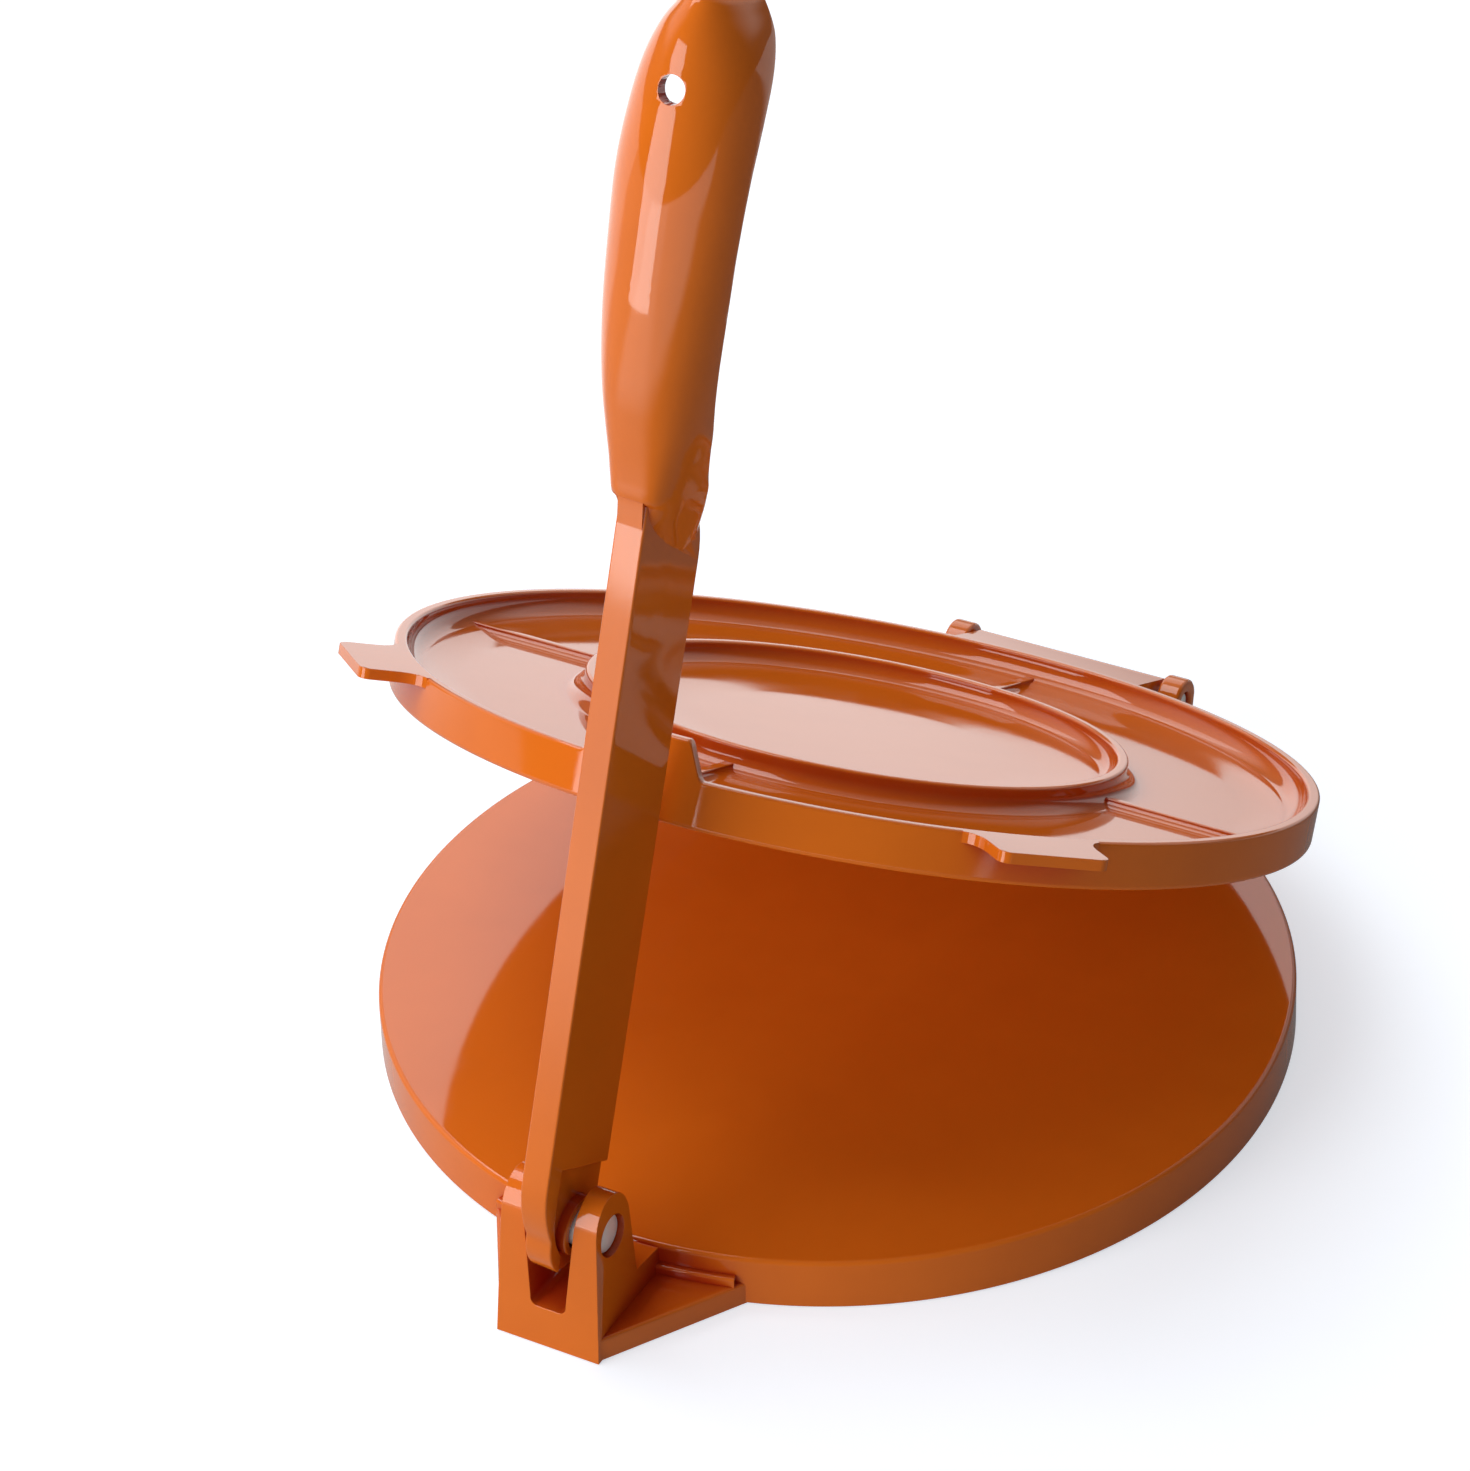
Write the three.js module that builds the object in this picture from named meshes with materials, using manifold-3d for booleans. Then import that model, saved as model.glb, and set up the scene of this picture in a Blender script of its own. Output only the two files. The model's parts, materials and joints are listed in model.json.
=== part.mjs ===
// Tortilla press: a round base, a hinged top plate and a hand lever, three painted
// aluminium castings joined by two steel pins. Millimetres, +Z up. The origin is the
// centre of the base disc on the table, the lever's clevis is at -Y and the hinge at +Y.
import * as THREE from 'three';
import { mergeVertices } from 'three/addons/utils/BufferGeometryUtils.js';
import Module from 'manifold-3d';

const wasm = await Module();
wasm.setup();
const { Manifold, Mesh } = wasm;

// Round base disc
const discRadius = 100;
const discThickness = 11.5;
const discDraft = 0.2;
const discFloor = 4.6;
const discWall = 3.4;
const edgeRound = 1.1;
const plateInset = 0.3;
const plateRadius = discRadius - plateInset;
const ringInset = 41;
const plateRingRadius = plateRadius - ringInset;
const discStiffenerRadius = plateRingRadius;
const stiffenerWall = 2.6;
const baseRibWidth = 2.8;

// Hinge at the back
const hingeSetback = 17.3;
const hingeY = discRadius + hingeSetback;
const hingeZ = 15.6;
const earRadius = 6;
const earInner = 24.9;
const earWidth = 5.5;
const earFootLength = 9;
const earArcEnd = 145;
const knuckleRadius = 4.7;
const knuckleGap = 1;
const tongueUnderAngle = 30;
const knuckleArcEnd = 100;
const hingePinRadius = 2.6;
const hingePinRecess = 0.6;

// Top plate
const plateGap = 0.4;
const plateRimHeight = 9.9;
const plateFloor = 3.6;
const plateRimWall = 2.7;
const rimFillet = 4.5;
const ringFillet = 3.6;
const plateRingHeight = 9.1;
const plateRingWall = 2.5;
const plateRibHeight = 5.3;
const plateRibWidth = 2.4;
const plateOpening = 24.8;

// Nose on the front of the top plate, which the lever presses
const noseHeight = 17.5;
const noseTopHalf = 9.8;
const noseRootHalf = 12.6;
const noseWall = 3;

// Lift tabs on both sides of the top plate
const tabAngle = 44;
const tabWidth = 23;
const tabReach = 12.9;
const tabThickness = 2.3;
const tabCorner = 2.2;
const tabFlare = 3;

// Clevis on the front of the base
const clevisReach = 25;
const clevisFront = discRadius + clevisReach;
const clevisHalf = 11.9;
const clevisDraft = 0.032;
const clevisFrontLean = 0.13;
const clevisTop = 35.5;
const clevisArchRise = 8.4;
const clevisArchDepth = 13.2;
const clevisArchStart = 6;
const clevisBackLean = 0.02;
const slotFloor = 9;
const slotHalf = 4.05;
const slotTopHalf = 6.15;
const slotFlareStart = 11;
const slotCorner = 1.6;

// Foot flanges beside the clevis
const flangeReach = 29.6;
const flangeBack = Math.sqrt(discRadius ** 2 - flangeReach ** 2);
const flangeHeight = 5.2;
const flangeStep = 7.2;
const flangeStepWidth = 1.7;

// Lever pivot
const pivotReach = 15.2;
const pivotY = -discRadius - pivotReach;
const pivotZ = 26;
const pivotPinRadius = 4.2;
const pivotPinRecess = 0.7;
const pinChamfer = 0.5;
const pinGap = 0.3;

// Lever
const leverLean = 15;
const leverSideLean = 3.5;
const barFront = 15.25;
const barBack = 9.4;
const barFootHalf = 2.95;
const barTopHalf = 3.05;
const barLength = 157.5;
const heelRadius = 10.3;
const heelBlend = 14;
const barRound = 0.4;
const bossRadius = 6.3;
const bossHalf = 3.8;
const leverBore = 4.85;
const pocketDepth = 1.3;
const pocketStrip = 5.4;
const pocketFrontTop = 16.1;
const pocketBackTop = 9.5;

// Grip at the end of the lever
const gripLength = 97;
const leverLength = barLength + gripLength;
const gripHalf = 13;
const gripFront = 24.9;
const gripRimFront = 13.3;
const gripWall = 2.6;
const gripHollowStart = 5;
const backCurveLength = 17;
const hangingHoleRadius = 2.7;
const hangingHoleInset = 17.2;
const webRunOut = 28.5;

// Shared working values
const overrun = 3;
const roundSteps = 96;
const arcSteps = 24;
const smallArcSteps = 4;
const weldDistance = 1e-4;

const degrees = (angle) => THREE.MathUtils.degToRad(angle);

// A closed geometry becomes a solid, and a solid becomes a geometry again.
function toSolid(geometry) {
  const bare = geometry.index ? geometry.toNonIndexed() : geometry;
  bare.deleteAttribute('normal');
  bare.deleteAttribute('uv');
  const merged = mergeVertices(bare, weldDistance);
  const vertProperties = new Float32Array(merged.attributes.position.array);
  const triVerts = new Uint32Array(merged.index.array);
  return new Manifold(new Mesh({ numProp: 3, vertProperties, triVerts }));
}

function toGeometry(solid) {
  const mesh = solid.getMesh();
  const geometry = new THREE.BufferGeometry();
  geometry.setAttribute('position', new THREE.BufferAttribute(mesh.vertProperties, 3));
  geometry.setIndex(new THREE.BufferAttribute(mesh.triVerts, 1));
  geometry.computeVertexNormals();
  return geometry;
}

function moved(geometry, x, y, z) {
  return geometry.translate(x, y, z);
}

// A body of revolution about Z from a closed profile of [radius, height] points.
function revolve(points, steps = roundSteps) {
  const profile = points.map(([radius, height]) => new THREE.Vector2(radius, height));
  return toSolid(new THREE.LatheGeometry(profile, steps).rotateX(Math.PI / 2));
}

function cylinderAcross(radius, half) {
  return new THREE.CylinderGeometry(radius, radius, 2 * half, arcSteps).rotateZ(Math.PI / 2);
}

// A plate cut from an outline in Y and Z, spread over X from -half to half.
function slabAcross(shape, half, curveSteps = arcSteps) {
  const options = { depth: 2 * half, bevelEnabled: false, curveSegments: curveSteps };
  const geometry = new THREE.ExtrudeGeometry(shape, options);
  geometry.rotateY(Math.PI / 2).rotateX(Math.PI / 2);
  return moved(geometry, -half, 0, 0);
}

// A plate cut from an outline in X and Z, spread over Y from back to front.
function slabAlong(shape, nearY, farY, curveSteps = arcSteps) {
  const options = { depth: farY - nearY, bevelEnabled: false, curveSegments: curveSteps };
  const geometry = new THREE.ExtrudeGeometry(shape, options);
  geometry.rotateX(Math.PI / 2);
  return moved(geometry, 0, farY, 0);
}

// A plate cut from an outline in X and Y, standing from bottom to top.
function slabUp(shape, bottom, top, curveSteps = arcSteps) {
  const options = { depth: top - bottom, bevelEnabled: false, curveSegments: curveSteps };
  return moved(new THREE.ExtrudeGeometry(shape, options), 0, 0, bottom);
}

function polygon(points) {
  return new THREE.Shape(points.map(([u, v]) => new THREE.Vector2(u, v)));
}

function box(lowX, highX, lowY, highY, lowZ, highZ) {
  const geometry = new THREE.BoxGeometry(highX - lowX, highY - lowY, highZ - lowZ);
  return moved(geometry, (lowX + highX) / 2, (lowY + highY) / 2, (lowZ + highZ) / 2);
}

function union(parts) {
  return parts.reduce((whole, part) => whole.add(part));
}

// A rounded quarter turn between two directions, for the corners of a revolved profile.
function cornerArc(centreU, centreV, radius, fromAngle, toAngle, steps = smallArcSteps) {
  const points = [];
  for (let step = 0; step <= steps; step += 1) {
    const angle = degrees(fromAngle + ((toAngle - fromAngle) * step) / steps);
    points.push([centreU + radius * Math.cos(angle), centreV + radius * Math.sin(angle)]);
  }
  return points;
}

// Cross of four ribs on the X and Y axes, as wide as asked.
function ribCross(reach, width, bottom, top) {
  const half = width / 2;
  const alongX = toSolid(box(-reach, reach, -half, half, bottom, top));
  const alongY = toSolid(box(-half, half, -reach, reach, bottom, top));
  return alongX.add(alongY);
}

// Base disc: flat on top, with the underside cored out to a rim, a ring and four ribs.
function baseDisc() {
  const body = revolve([
    [0, 0],
    [discRadius + discDraft, 0],
    ...cornerArc(discRadius - edgeRound, discThickness - edgeRound, edgeRound, 0, 90),
    [0, discThickness],
  ]);
  const coreTop = discThickness - discFloor;
  const ringInner = discStiffenerRadius - stiffenerWall;
  const rimInner = discRadius - discWall;
  const innerCore = revolve([
    [0, -overrun],
    [ringInner, -overrun],
    [ringInner, coreTop],
    [0, coreTop],
  ]);
  const outerCore = revolve([
    [discStiffenerRadius, -overrun],
    [rimInner, -overrun],
    [rimInner, coreTop],
    [discStiffenerRadius, coreTop],
    [discStiffenerRadius, -overrun],
  ]);
  const ribs = ribCross(discRadius, baseRibWidth, -2 * overrun, discThickness);
  return body.subtract(innerCore).subtract(outerCore.subtract(ribs));
}

// One hinge ear of the base, arched over the hinge axis and standing on its own foot.
function hingeEar(side) {
  const shape = new THREE.Shape();
  const discY = discRadius - earRadius - overrun;
  const footBack = hingeY - earRadius + earFootLength;
  shape.moveTo(discY, 0);
  shape.lineTo(footBack - edgeRound, 0);
  shape.lineTo(footBack, edgeRound);
  shape.lineTo(hingeY + earRadius, hingeZ);
  shape.absarc(hingeY, hingeZ, earRadius, 0, degrees(earArcEnd), false);
  shape.lineTo(discRadius - discWall, discThickness - edgeRound);
  shape.lineTo(discY, discThickness - edgeRound);
  shape.closePath();
  const half = earWidth / 2;
  const ear = toSolid(moved(slabAcross(shape, half), side * (earInner + half), 0, 0));
  const bore = cylinderAcross(hingePinRadius + pinGap, earInner + earWidth + overrun);
  return ear.subtract(toSolid(moved(bore, 0, hingeY, hingeZ)));
}

function clevisSide() {
  const archZ = clevisTop - clevisArchRise;
  const halfDepth = clevisArchDepth / 2;
  const archY = -clevisFront + clevisFrontLean * archZ + halfDepth;
  const startAngle = degrees(clevisArchStart);
  const shape = new THREE.Shape();
  shape.moveTo(-clevisFront, 0);
  shape.lineTo(-discRadius + discWall, 0);
  shape.lineTo(-discRadius + discWall, discThickness - edgeRound);
  shape.lineTo(archY + halfDepth + clevisBackLean * archZ, discThickness);
  shape.absellipse(
    archY, archZ, halfDepth, clevisArchRise, startAngle, Math.PI - startAngle, false,
  );
  shape.closePath();
  return shape;
}

function slotOutline() {
  const shape = new THREE.Shape();
  shape.moveTo(-slotHalf + slotCorner, slotFloor);
  shape.lineTo(slotHalf - slotCorner, slotFloor);
  shape.absarc(slotHalf - slotCorner, slotFloor + slotCorner, slotCorner, -Math.PI / 2, 0, false);
  shape.lineTo(slotHalf, slotFlareStart);
  shape.lineTo(slotTopHalf, clevisTop - edgeRound);
  shape.lineTo(slotTopHalf, clevisTop + overrun);
  shape.lineTo(-slotTopHalf, clevisTop + overrun);
  shape.lineTo(-slotTopHalf, clevisTop - edgeRound);
  shape.lineTo(-slotHalf, slotFlareStart);
  shape.lineTo(-slotHalf, slotFloor + slotCorner);
  shape.absarc(
    slotCorner - slotHalf, slotFloor + slotCorner, slotCorner, Math.PI, (3 * Math.PI) / 2, false,
  );
  return shape;
}

function slotCutter() {
  return toSolid(slabAlong(slotOutline(), -clevisFront - overrun, -discRadius));
}

// Clevis: a block with drafted sides, an arched top and a slot open to the front and top.
function clevis() {
  const block = slabAcross(clevisSide(), clevisHalf);
  const position = block.attributes.position;
  for (let i = 0; i < position.count; i += 1) {
    const taper = 1 - (clevisDraft * position.getZ(i)) / clevisHalf;
    position.setX(i, position.getX(i) * taper);
  }
  const bore = cylinderAcross(pivotPinRadius + pinGap, clevisHalf + overrun);
  return toSolid(block)
    .subtract(slotCutter())
    .subtract(toSolid(moved(bore, 0, pivotY, pivotZ)));
}

// Foot flanges: a low web on each side of the clevis, stepped up along the disc.
function footFlanges() {
  const inset = discRadius - discWall;
  const webFront = clevisFront - clevisFrontLean * flangeHeight;
  const web = polygon([
    [-clevisHalf, -webFront],
    [clevisHalf, -webFront],
    [flangeReach, -flangeBack],
    [flangeReach - discWall, -inset + discWall],
    [discWall - flangeReach, -inset + discWall],
    [-flangeReach, -flangeBack],
  ]);
  const low = toSolid(slabUp(web, 0, flangeHeight));
  const high = toSolid(slabUp(web, 0, flangeStep));
  const band = revolve([
    [inset, 0],
    [discRadius + flangeStepWidth, 0],
    [discRadius + flangeStepWidth, flangeStep + overrun],
    [inset, flangeStep + overrun],
    [inset, 0],
  ]);
  return low.add(high.intersect(band)).subtract(slotCutter());
}

function baseCasting() {
  const parts = [baseDisc(), clevis(), footFlanges(), hingeEar(-1), hingeEar(1)];
  return union(parts);
}

// Top plate in its closed place, with its flat pressing face down.
function plateDish() {
  const inner = plateRadius - plateRimWall;
  return revolve([
    [0, 0],
    ...cornerArc(plateRadius - edgeRound, edgeRound, edgeRound, -90, 0),
    [plateRadius, plateRimHeight - edgeRound / 2],
    [plateRadius - edgeRound / 2, plateRimHeight],
    [inner + edgeRound / 2, plateRimHeight],
    [inner, plateRimHeight - edgeRound / 2],
    ...cornerArc(inner - rimFillet, plateFloor + rimFillet, rimFillet, 0, -90),
    [0, plateFloor],
  ]);
}

// Ring on the floor of the plate, with a fillet on both sides.
function plateRing() {
  const inner = plateRingRadius - plateRingWall;
  const sink = plateFloor / 2;
  const softened = edgeRound / 2;
  const filletZ = plateFloor + ringFillet;
  return revolve([
    [inner - ringFillet, sink],
    [plateRingRadius + ringFillet, sink],
    ...cornerArc(plateRingRadius + ringFillet, filletZ, ringFillet, -90, -180),
    [plateRingRadius, plateRingHeight - softened],
    [plateRingRadius - softened, plateRingHeight],
    [inner + softened, plateRingHeight],
    [inner, plateRingHeight - softened],
    ...cornerArc(inner - ringFillet, filletZ, ringFillet, 0, -90),
    [inner - ringFillet, sink],
  ]);
}

function plateRibs() {
  const sink = plateFloor / 2;
  const reach = plateRadius - plateRimWall / 2;
  const clearCentre = revolve([
    [0, 0],
    [plateRingRadius - plateRingWall / 2, 0],
    [plateRingRadius - plateRingWall / 2, plateRimHeight],
    [0, plateRimHeight],
  ]);
  return ribCross(reach, plateRibWidth, sink, plateRibHeight).subtract(clearCentre);
}

// Nose: a short wall above the front of the rim, narrower at its top.
function pressingNose() {
  const shape = polygon([
    [-noseRootHalf, plateFloor],
    [noseRootHalf, plateFloor],
    [noseRootHalf, plateRimHeight - edgeRound],
    [noseTopHalf, noseHeight - edgeRound],
    [noseTopHalf - edgeRound, noseHeight],
    [edgeRound - noseTopHalf, noseHeight],
    [-noseTopHalf, noseHeight - edgeRound],
    [-noseRootHalf, plateRimHeight - edgeRound],
  ]);
  const slab = toSolid(slabAlong(shape, -plateRadius - overrun, -plateRadius + noseWall));
  const rim = revolve([
    [0, 0],
    [plateRadius, 0],
    [plateRadius, noseHeight + overrun],
    [0, noseHeight + overrun],
  ]);
  return slab.intersect(rim);
}

// Lift tab: a thin ear level with the top of the rim, flared where it leaves the wall.
function liftTab(side) {
  const half = tabWidth / 2;
  const root = plateRadius - plateRimWall;
  const flareRoot = Math.sqrt(plateRadius ** 2 - (half + tabFlare) ** 2);
  const outer = Math.sqrt(plateRadius ** 2 - half ** 2) + tabReach;
  const shape = new THREE.Shape();
  shape.moveTo(root - half, -half);
  shape.lineTo(flareRoot - plateRimWall / 2, -half - tabFlare);
  shape.lineTo(flareRoot, -half - tabFlare);
  shape.quadraticCurveTo(flareRoot + tabFlare / 2, -half, flareRoot + 2 * tabFlare, -half);
  shape.lineTo(outer - tabCorner, -half);
  shape.absarc(outer - tabCorner, tabCorner - half, tabCorner, degrees(-90), 0, false);
  shape.lineTo(outer, half - tabCorner);
  shape.absarc(outer - tabCorner, half - tabCorner, tabCorner, 0, degrees(90), false);
  shape.lineTo(flareRoot + 2 * tabFlare, half);
  shape.quadraticCurveTo(flareRoot + tabFlare / 2, half, flareRoot, half + tabFlare);
  shape.lineTo(flareRoot - plateRimWall / 2, half + tabFlare);
  shape.lineTo(root - half, half);
  shape.closePath();
  const slab = slabUp(shape, plateRimHeight - tabThickness, plateRimHeight, smallArcSteps);
  const angle = side > 0 ? -tabAngle : tabAngle - 180;
  const inside = revolve([
    [0, 0],
    [root + plateRimWall / 2, 0],
    [root + plateRimWall / 2, plateRimHeight + overrun],
    [0, plateRimHeight + overrun],
  ]);
  return toSolid(slab.rotateZ(degrees(angle))).subtract(inside);
}

// Tongue with the hinge knuckle, between the two ears of the base.
function hingeTongue() {
  const half = earInner - knuckleGap;
  const axisZ = hingeZ - discThickness - plateGap;
  const rootY = plateRadius - plateRimWall / 2;
  const backY = Math.sqrt(plateRadius ** 2 - half ** 2) - plateRimWall / 2;
  const underZ = axisZ - knuckleRadius * Math.cos(degrees(tongueUnderAngle));
  const shape = new THREE.Shape();
  shape.moveTo(backY, 0);
  shape.lineTo(rootY, 0);
  shape.lineTo(hingeY - knuckleRadius * Math.sin(degrees(tongueUnderAngle)), underZ);
  shape.absarc(
    hingeY, axisZ, knuckleRadius, degrees(-90 - tongueUnderAngle), degrees(knuckleArcEnd), false,
  );
  shape.lineTo(backY, plateRimHeight - edgeRound);
  shape.closePath();
  const inside = revolve([
    [0, -overrun],
    [rootY, -overrun],
    [rootY, plateRimHeight + overrun],
    [0, plateRimHeight + overrun],
  ]);
  const tongue = toSolid(slabAcross(shape, half)).subtract(inside);
  const bore = cylinderAcross(hingePinRadius + pinGap, half + overrun);
  return tongue.subtract(toSolid(moved(bore, 0, hingeY, axisZ)));
}

function topPlateCasting() {
  const parts = [plateDish(), plateRing(), plateRibs(), pressingNose()];
  parts.push(liftTab(-1), liftTab(1), hingeTongue());
  return union(parts).translate([0, 0, discThickness + plateGap]);
}

// Lever in its own frame: the pivot is the origin, the bar runs up +Z, and its front,
// which faces away from the plate, is at -Y.
function barOutline(inset) {
  const heel = heelRadius - inset;
  const front = inset - barFront;
  const back = barBack - inset;
  const shape = new THREE.Shape();
  const backAngle = Math.acos(back / heel);
  const rimAtStep = gripRimFront * readShares(gripRimShares, 0) - inset;
  shape.moveTo(back, heel * Math.sin(backAngle));
  shape.lineTo(back, barLength - backCurveLength);
  shape.quadraticCurveTo(back, barLength - backCurveLength / 2, rimAtStep, barLength);
  shape.lineTo(front, barLength);
  shape.lineTo(front, heelBlend);
  shape.quadraticCurveTo(front, heelBlend / 2, -heel, 0);
  shape.absarc(0, 0, heel, Math.PI, backAngle + 2 * Math.PI, false);
  return shape;
}

// Half width of the bar at a height along it.
function barHalfAt(height) {
  const share = Math.min(Math.max(height / barLength, 0), 1);
  return barFootHalf + (barTopHalf - barFootHalf) * share;
}

function taperedBar(outline, extra) {
  const geometry = slabAcross(outline, barFootHalf);
  const position = geometry.attributes.position;
  for (let i = 0; i < position.count; i += 1) {
    const half = barHalfAt(position.getZ(i)) - extra;
    position.setX(i, Math.sign(position.getX(i)) * half);
  }
  return toSolid(geometry);
}

// Bar with softened edges: a full-width core inside the outline and a thinner full one.
function leverBar() {
  return taperedBar(barOutline(0), barRound).add(taperedBar(barOutline(barRound), 0));
}

// Pockets thin the foot behind a front strip, so that it sits between the clevis ears.
function footPockets() {
  const inner = heelRadius - pocketStrip;
  const wide = heelRadius + overrun;
  const front = pocketStrip - barFront;
  const shape = new THREE.Shape();
  shape.moveTo(front, pocketFrontTop);
  shape.lineTo(front, heelBlend / 2);
  shape.quadraticCurveTo(front, 0, -inner, -inner);
  shape.lineTo(-inner, -wide);
  shape.lineTo(wide, -wide);
  shape.lineTo(wide, pocketBackTop);
  shape.closePath();
  const thin = barFootHalf - pocketDepth;
  const cut = toSolid(slabAcross(shape, barFootHalf + overrun));
  const keep = toSolid(box(-thin, thin, -2 * wide, 2 * wide, -2 * wide, 2 * wide));
  return cut.subtract(keep);
}

// The grip's outline, given at shares of its length from the end of the bar: front line,
// widest line, half width, how boxy it is, and how far the sides close behind the widest
// line. Shares below 0 belong to the tongues that run down the sides of the bar.
const gripPlaceShares = [
  -0.144, -0.119, -0.077, -0.036, -0.001, 0.005, 0.046, 0.088, 0.139, 0.211, 0.294, 0.397, 0.521,
  0.655, 0.778, 0.861, 0.923, 0.964, 0.99, 1,
];
const gripFrontShares = [
  0.04, 0.24, 0.44, 0.56, 0.61, 0.66, 0.697, 0.739, 0.795, 0.875, 0.936, 0.981, 0.998,
  1, 0.968, 0.92, 0.865, 0.776, 0.7, 0.6,
];
const gripRimShares = [
  0.19, 0.19, 0.18, 0.16, 0.12, 0.11, -0.06, -0.21, -0.4, -0.63, -0.8, -0.91, -1,
  -0.985, -0.8, -0.61, -0.45, -0.38, -0.41, -0.49,
];
const gripWidthShares = [
  0.2, 0.275, 0.36, 0.44, 0.49, 0.54, 0.565, 0.625, 0.71, 0.79, 0.858, 0.917, 0.966,
  1, 0.98, 0.912, 0.763, 0.571, 0.406, 0.17,
];
const gripBoxyShares = [
  0.3, 0.4, 0.6, 0.8, 0.9, 1, 0.8, 0.6, 0.4, 0.25, 0.15, 0.08, 0, 0, 0, 0, 0, 0, 0, 0,
];
const gripBackShares = [
  0.3, 0.38, 0.4, 0.26, 0.05, 0, 0, 0, 0, 0, 0, 0, 0, 0, 0, 0, 0, 0, 0, 0,
];
const gripSections = 32;
const gripArcSteps = 18;
const gripBackSteps = 3;
const gripBackTurn = Math.PI / 3;

// A smooth reading of a table of shares at a share of the length.
function readShares(table, share) {
  const last = gripPlaceShares.length - 1;
  let k = 0;
  while (k < last - 1 && share > gripPlaceShares[k + 1]) k += 1;
  const span = gripPlaceShares[k + 1] - gripPlaceShares[k];
  const t = (share - gripPlaceShares[k]) / span;
  const slope = (i) => {
    const a = Math.max(i - 1, 0);
    const b = Math.min(i + 1, last);
    return (table[b] - table[a]) / (gripPlaceShares[b] - gripPlaceShares[a]);
  };
  const h1 = 2 * t ** 3 - 3 * t ** 2 + 1;
  const h2 = t ** 3 - 2 * t ** 2 + t;
  const h3 = 3 * t ** 2 - 2 * t ** 3;
  const h4 = t ** 3 - t ** 2;
  return h1 * table[k] + h2 * span * slope(k) + h3 * table[k + 1] + h4 * span * slope(k + 1);
}

// One cross-section of the grip, pulled in by a wall: an arch over the front from side to
// side, and behind its widest line two short arcs that close towards the back.
function gripSection(share, wall) {
  const place = barLength + gripLength * share;
  const front = -gripFront * readShares(gripFrontShares, share) + wall;
  const rim = gripRimFront * readShares(gripRimShares, share);
  const half = Math.max(gripHalf * readShares(gripWidthShares, share) - wall, wall / 2);
  const power = 1 / (1 + readShares(gripBoxyShares, share));
  const depth = Math.max(rim - front, wall);
  const behind = gripHalf * Math.max(readShares(gripBackShares, share), 0);
  const point = (angle, reach, arc) => {
    const x = Math.sign(Math.cos(angle)) * Math.abs(Math.cos(angle)) ** arc;
    const y = Math.sign(Math.sin(angle)) * Math.abs(Math.sin(angle)) ** arc;
    return new THREE.Vector3(half * x, rim - reach * y, place);
  };
  const points = [];
  for (let step = gripBackSteps; step > 0; step -= 1) {
    points.push(point((-gripBackTurn * step) / gripBackSteps, behind, 1));
  }
  for (let step = 0; step <= gripArcSteps; step += 1) {
    points.push(point((Math.PI * step) / gripArcSteps, depth, power));
  }
  for (let step = 1; step <= gripBackSteps; step += 1) {
    points.push(point(Math.PI + (gripBackTurn * step) / gripBackSteps, behind, 1));
  }
  return points;
}

// A solid lofted through closed rings of points, with flat ends.
function loft(rings) {
  const count = rings[0].length;
  const positions = rings.flatMap((ring) => ring.flatMap((p) => [p.x, p.y, p.z]));
  const indices = [];
  for (let r = 0; r + 1 < rings.length; r += 1) {
    for (let i = 0; i < count; i += 1) {
      const a = r * count + i;
      const b = r * count + ((i + 1) % count);
      indices.push(a, b, a + count, b, b + count, a + count);
    }
  }
  for (const [ring, flip] of [[0, true], [rings.length - 1, false]]) {
    const outline = rings[ring].map((p) => new THREE.Vector2(p.x, p.y));
    for (const [a, b, c] of THREE.ShapeUtils.triangulateShape(outline, [])) {
      const base = ring * count;
      indices.push(...(flip ? [base + a, base + c, base + b] : [base + a, base + b, base + c]));
    }
  }
  const geometry = new THREE.BufferGeometry();
  geometry.setAttribute('position', new THREE.Float32BufferAttribute(positions, 3));
  geometry.setIndex(indices);
  return toSolid(geometry);
}

function gripShell() {
  const outer = [];
  const first = gripPlaceShares[0];
  for (let i = 0; i <= gripSections; i += 1) {
    outer.push(gripSection(first + ((1 - first) * i) / gripSections, 0).reverse());
  }
  return loft(outer);
}

// The hollow of the grip, open to the back, starts past the bar's end and stops a wall
// short of the tip.
function gripHollow() {
  const rings = [];
  const firstShare = gripHollowStart / gripLength;
  const lastShare = 1 - gripWall / gripLength;
  for (let i = 0; i <= gripSections; i += 1) {
    const share = firstShare + ((lastShare - firstShare) * i) / gripSections;
    const arch = gripSection(share, gripWall).slice(gripBackSteps, -gripBackSteps).reverse();
    const first = arch[0];
    const last = arch[arch.length - 1];
    arch.push(new THREE.Vector3(last.x, gripFront, last.z));
    arch.push(new THREE.Vector3(first.x, gripFront, first.z));
    rings.push(arch);
  }
  return loft(rings);
}

// The bar runs on into the hollow as a web whose back edge slopes down to the shell.
function runOutWeb() {
  const top = barLength + webRunOut;
  const rimAtEnd = gripRimFront * readShares(gripRimShares, gripHollowStart / gripLength);
  const shape = polygon([
    [rimAtEnd, barLength - gripHollowStart],
    [rimAtEnd, barLength + gripHollowStart],
    [-gripRimFront - gripWall, top],
    [gripWall / 2 - gripFront * readShares(gripFrontShares, webRunOut / gripLength), top],
    [-barFront, barLength - gripHollowStart],
  ]);
  return toSolid(slabAcross(shape, barTopHalf - barRound));
}

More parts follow.
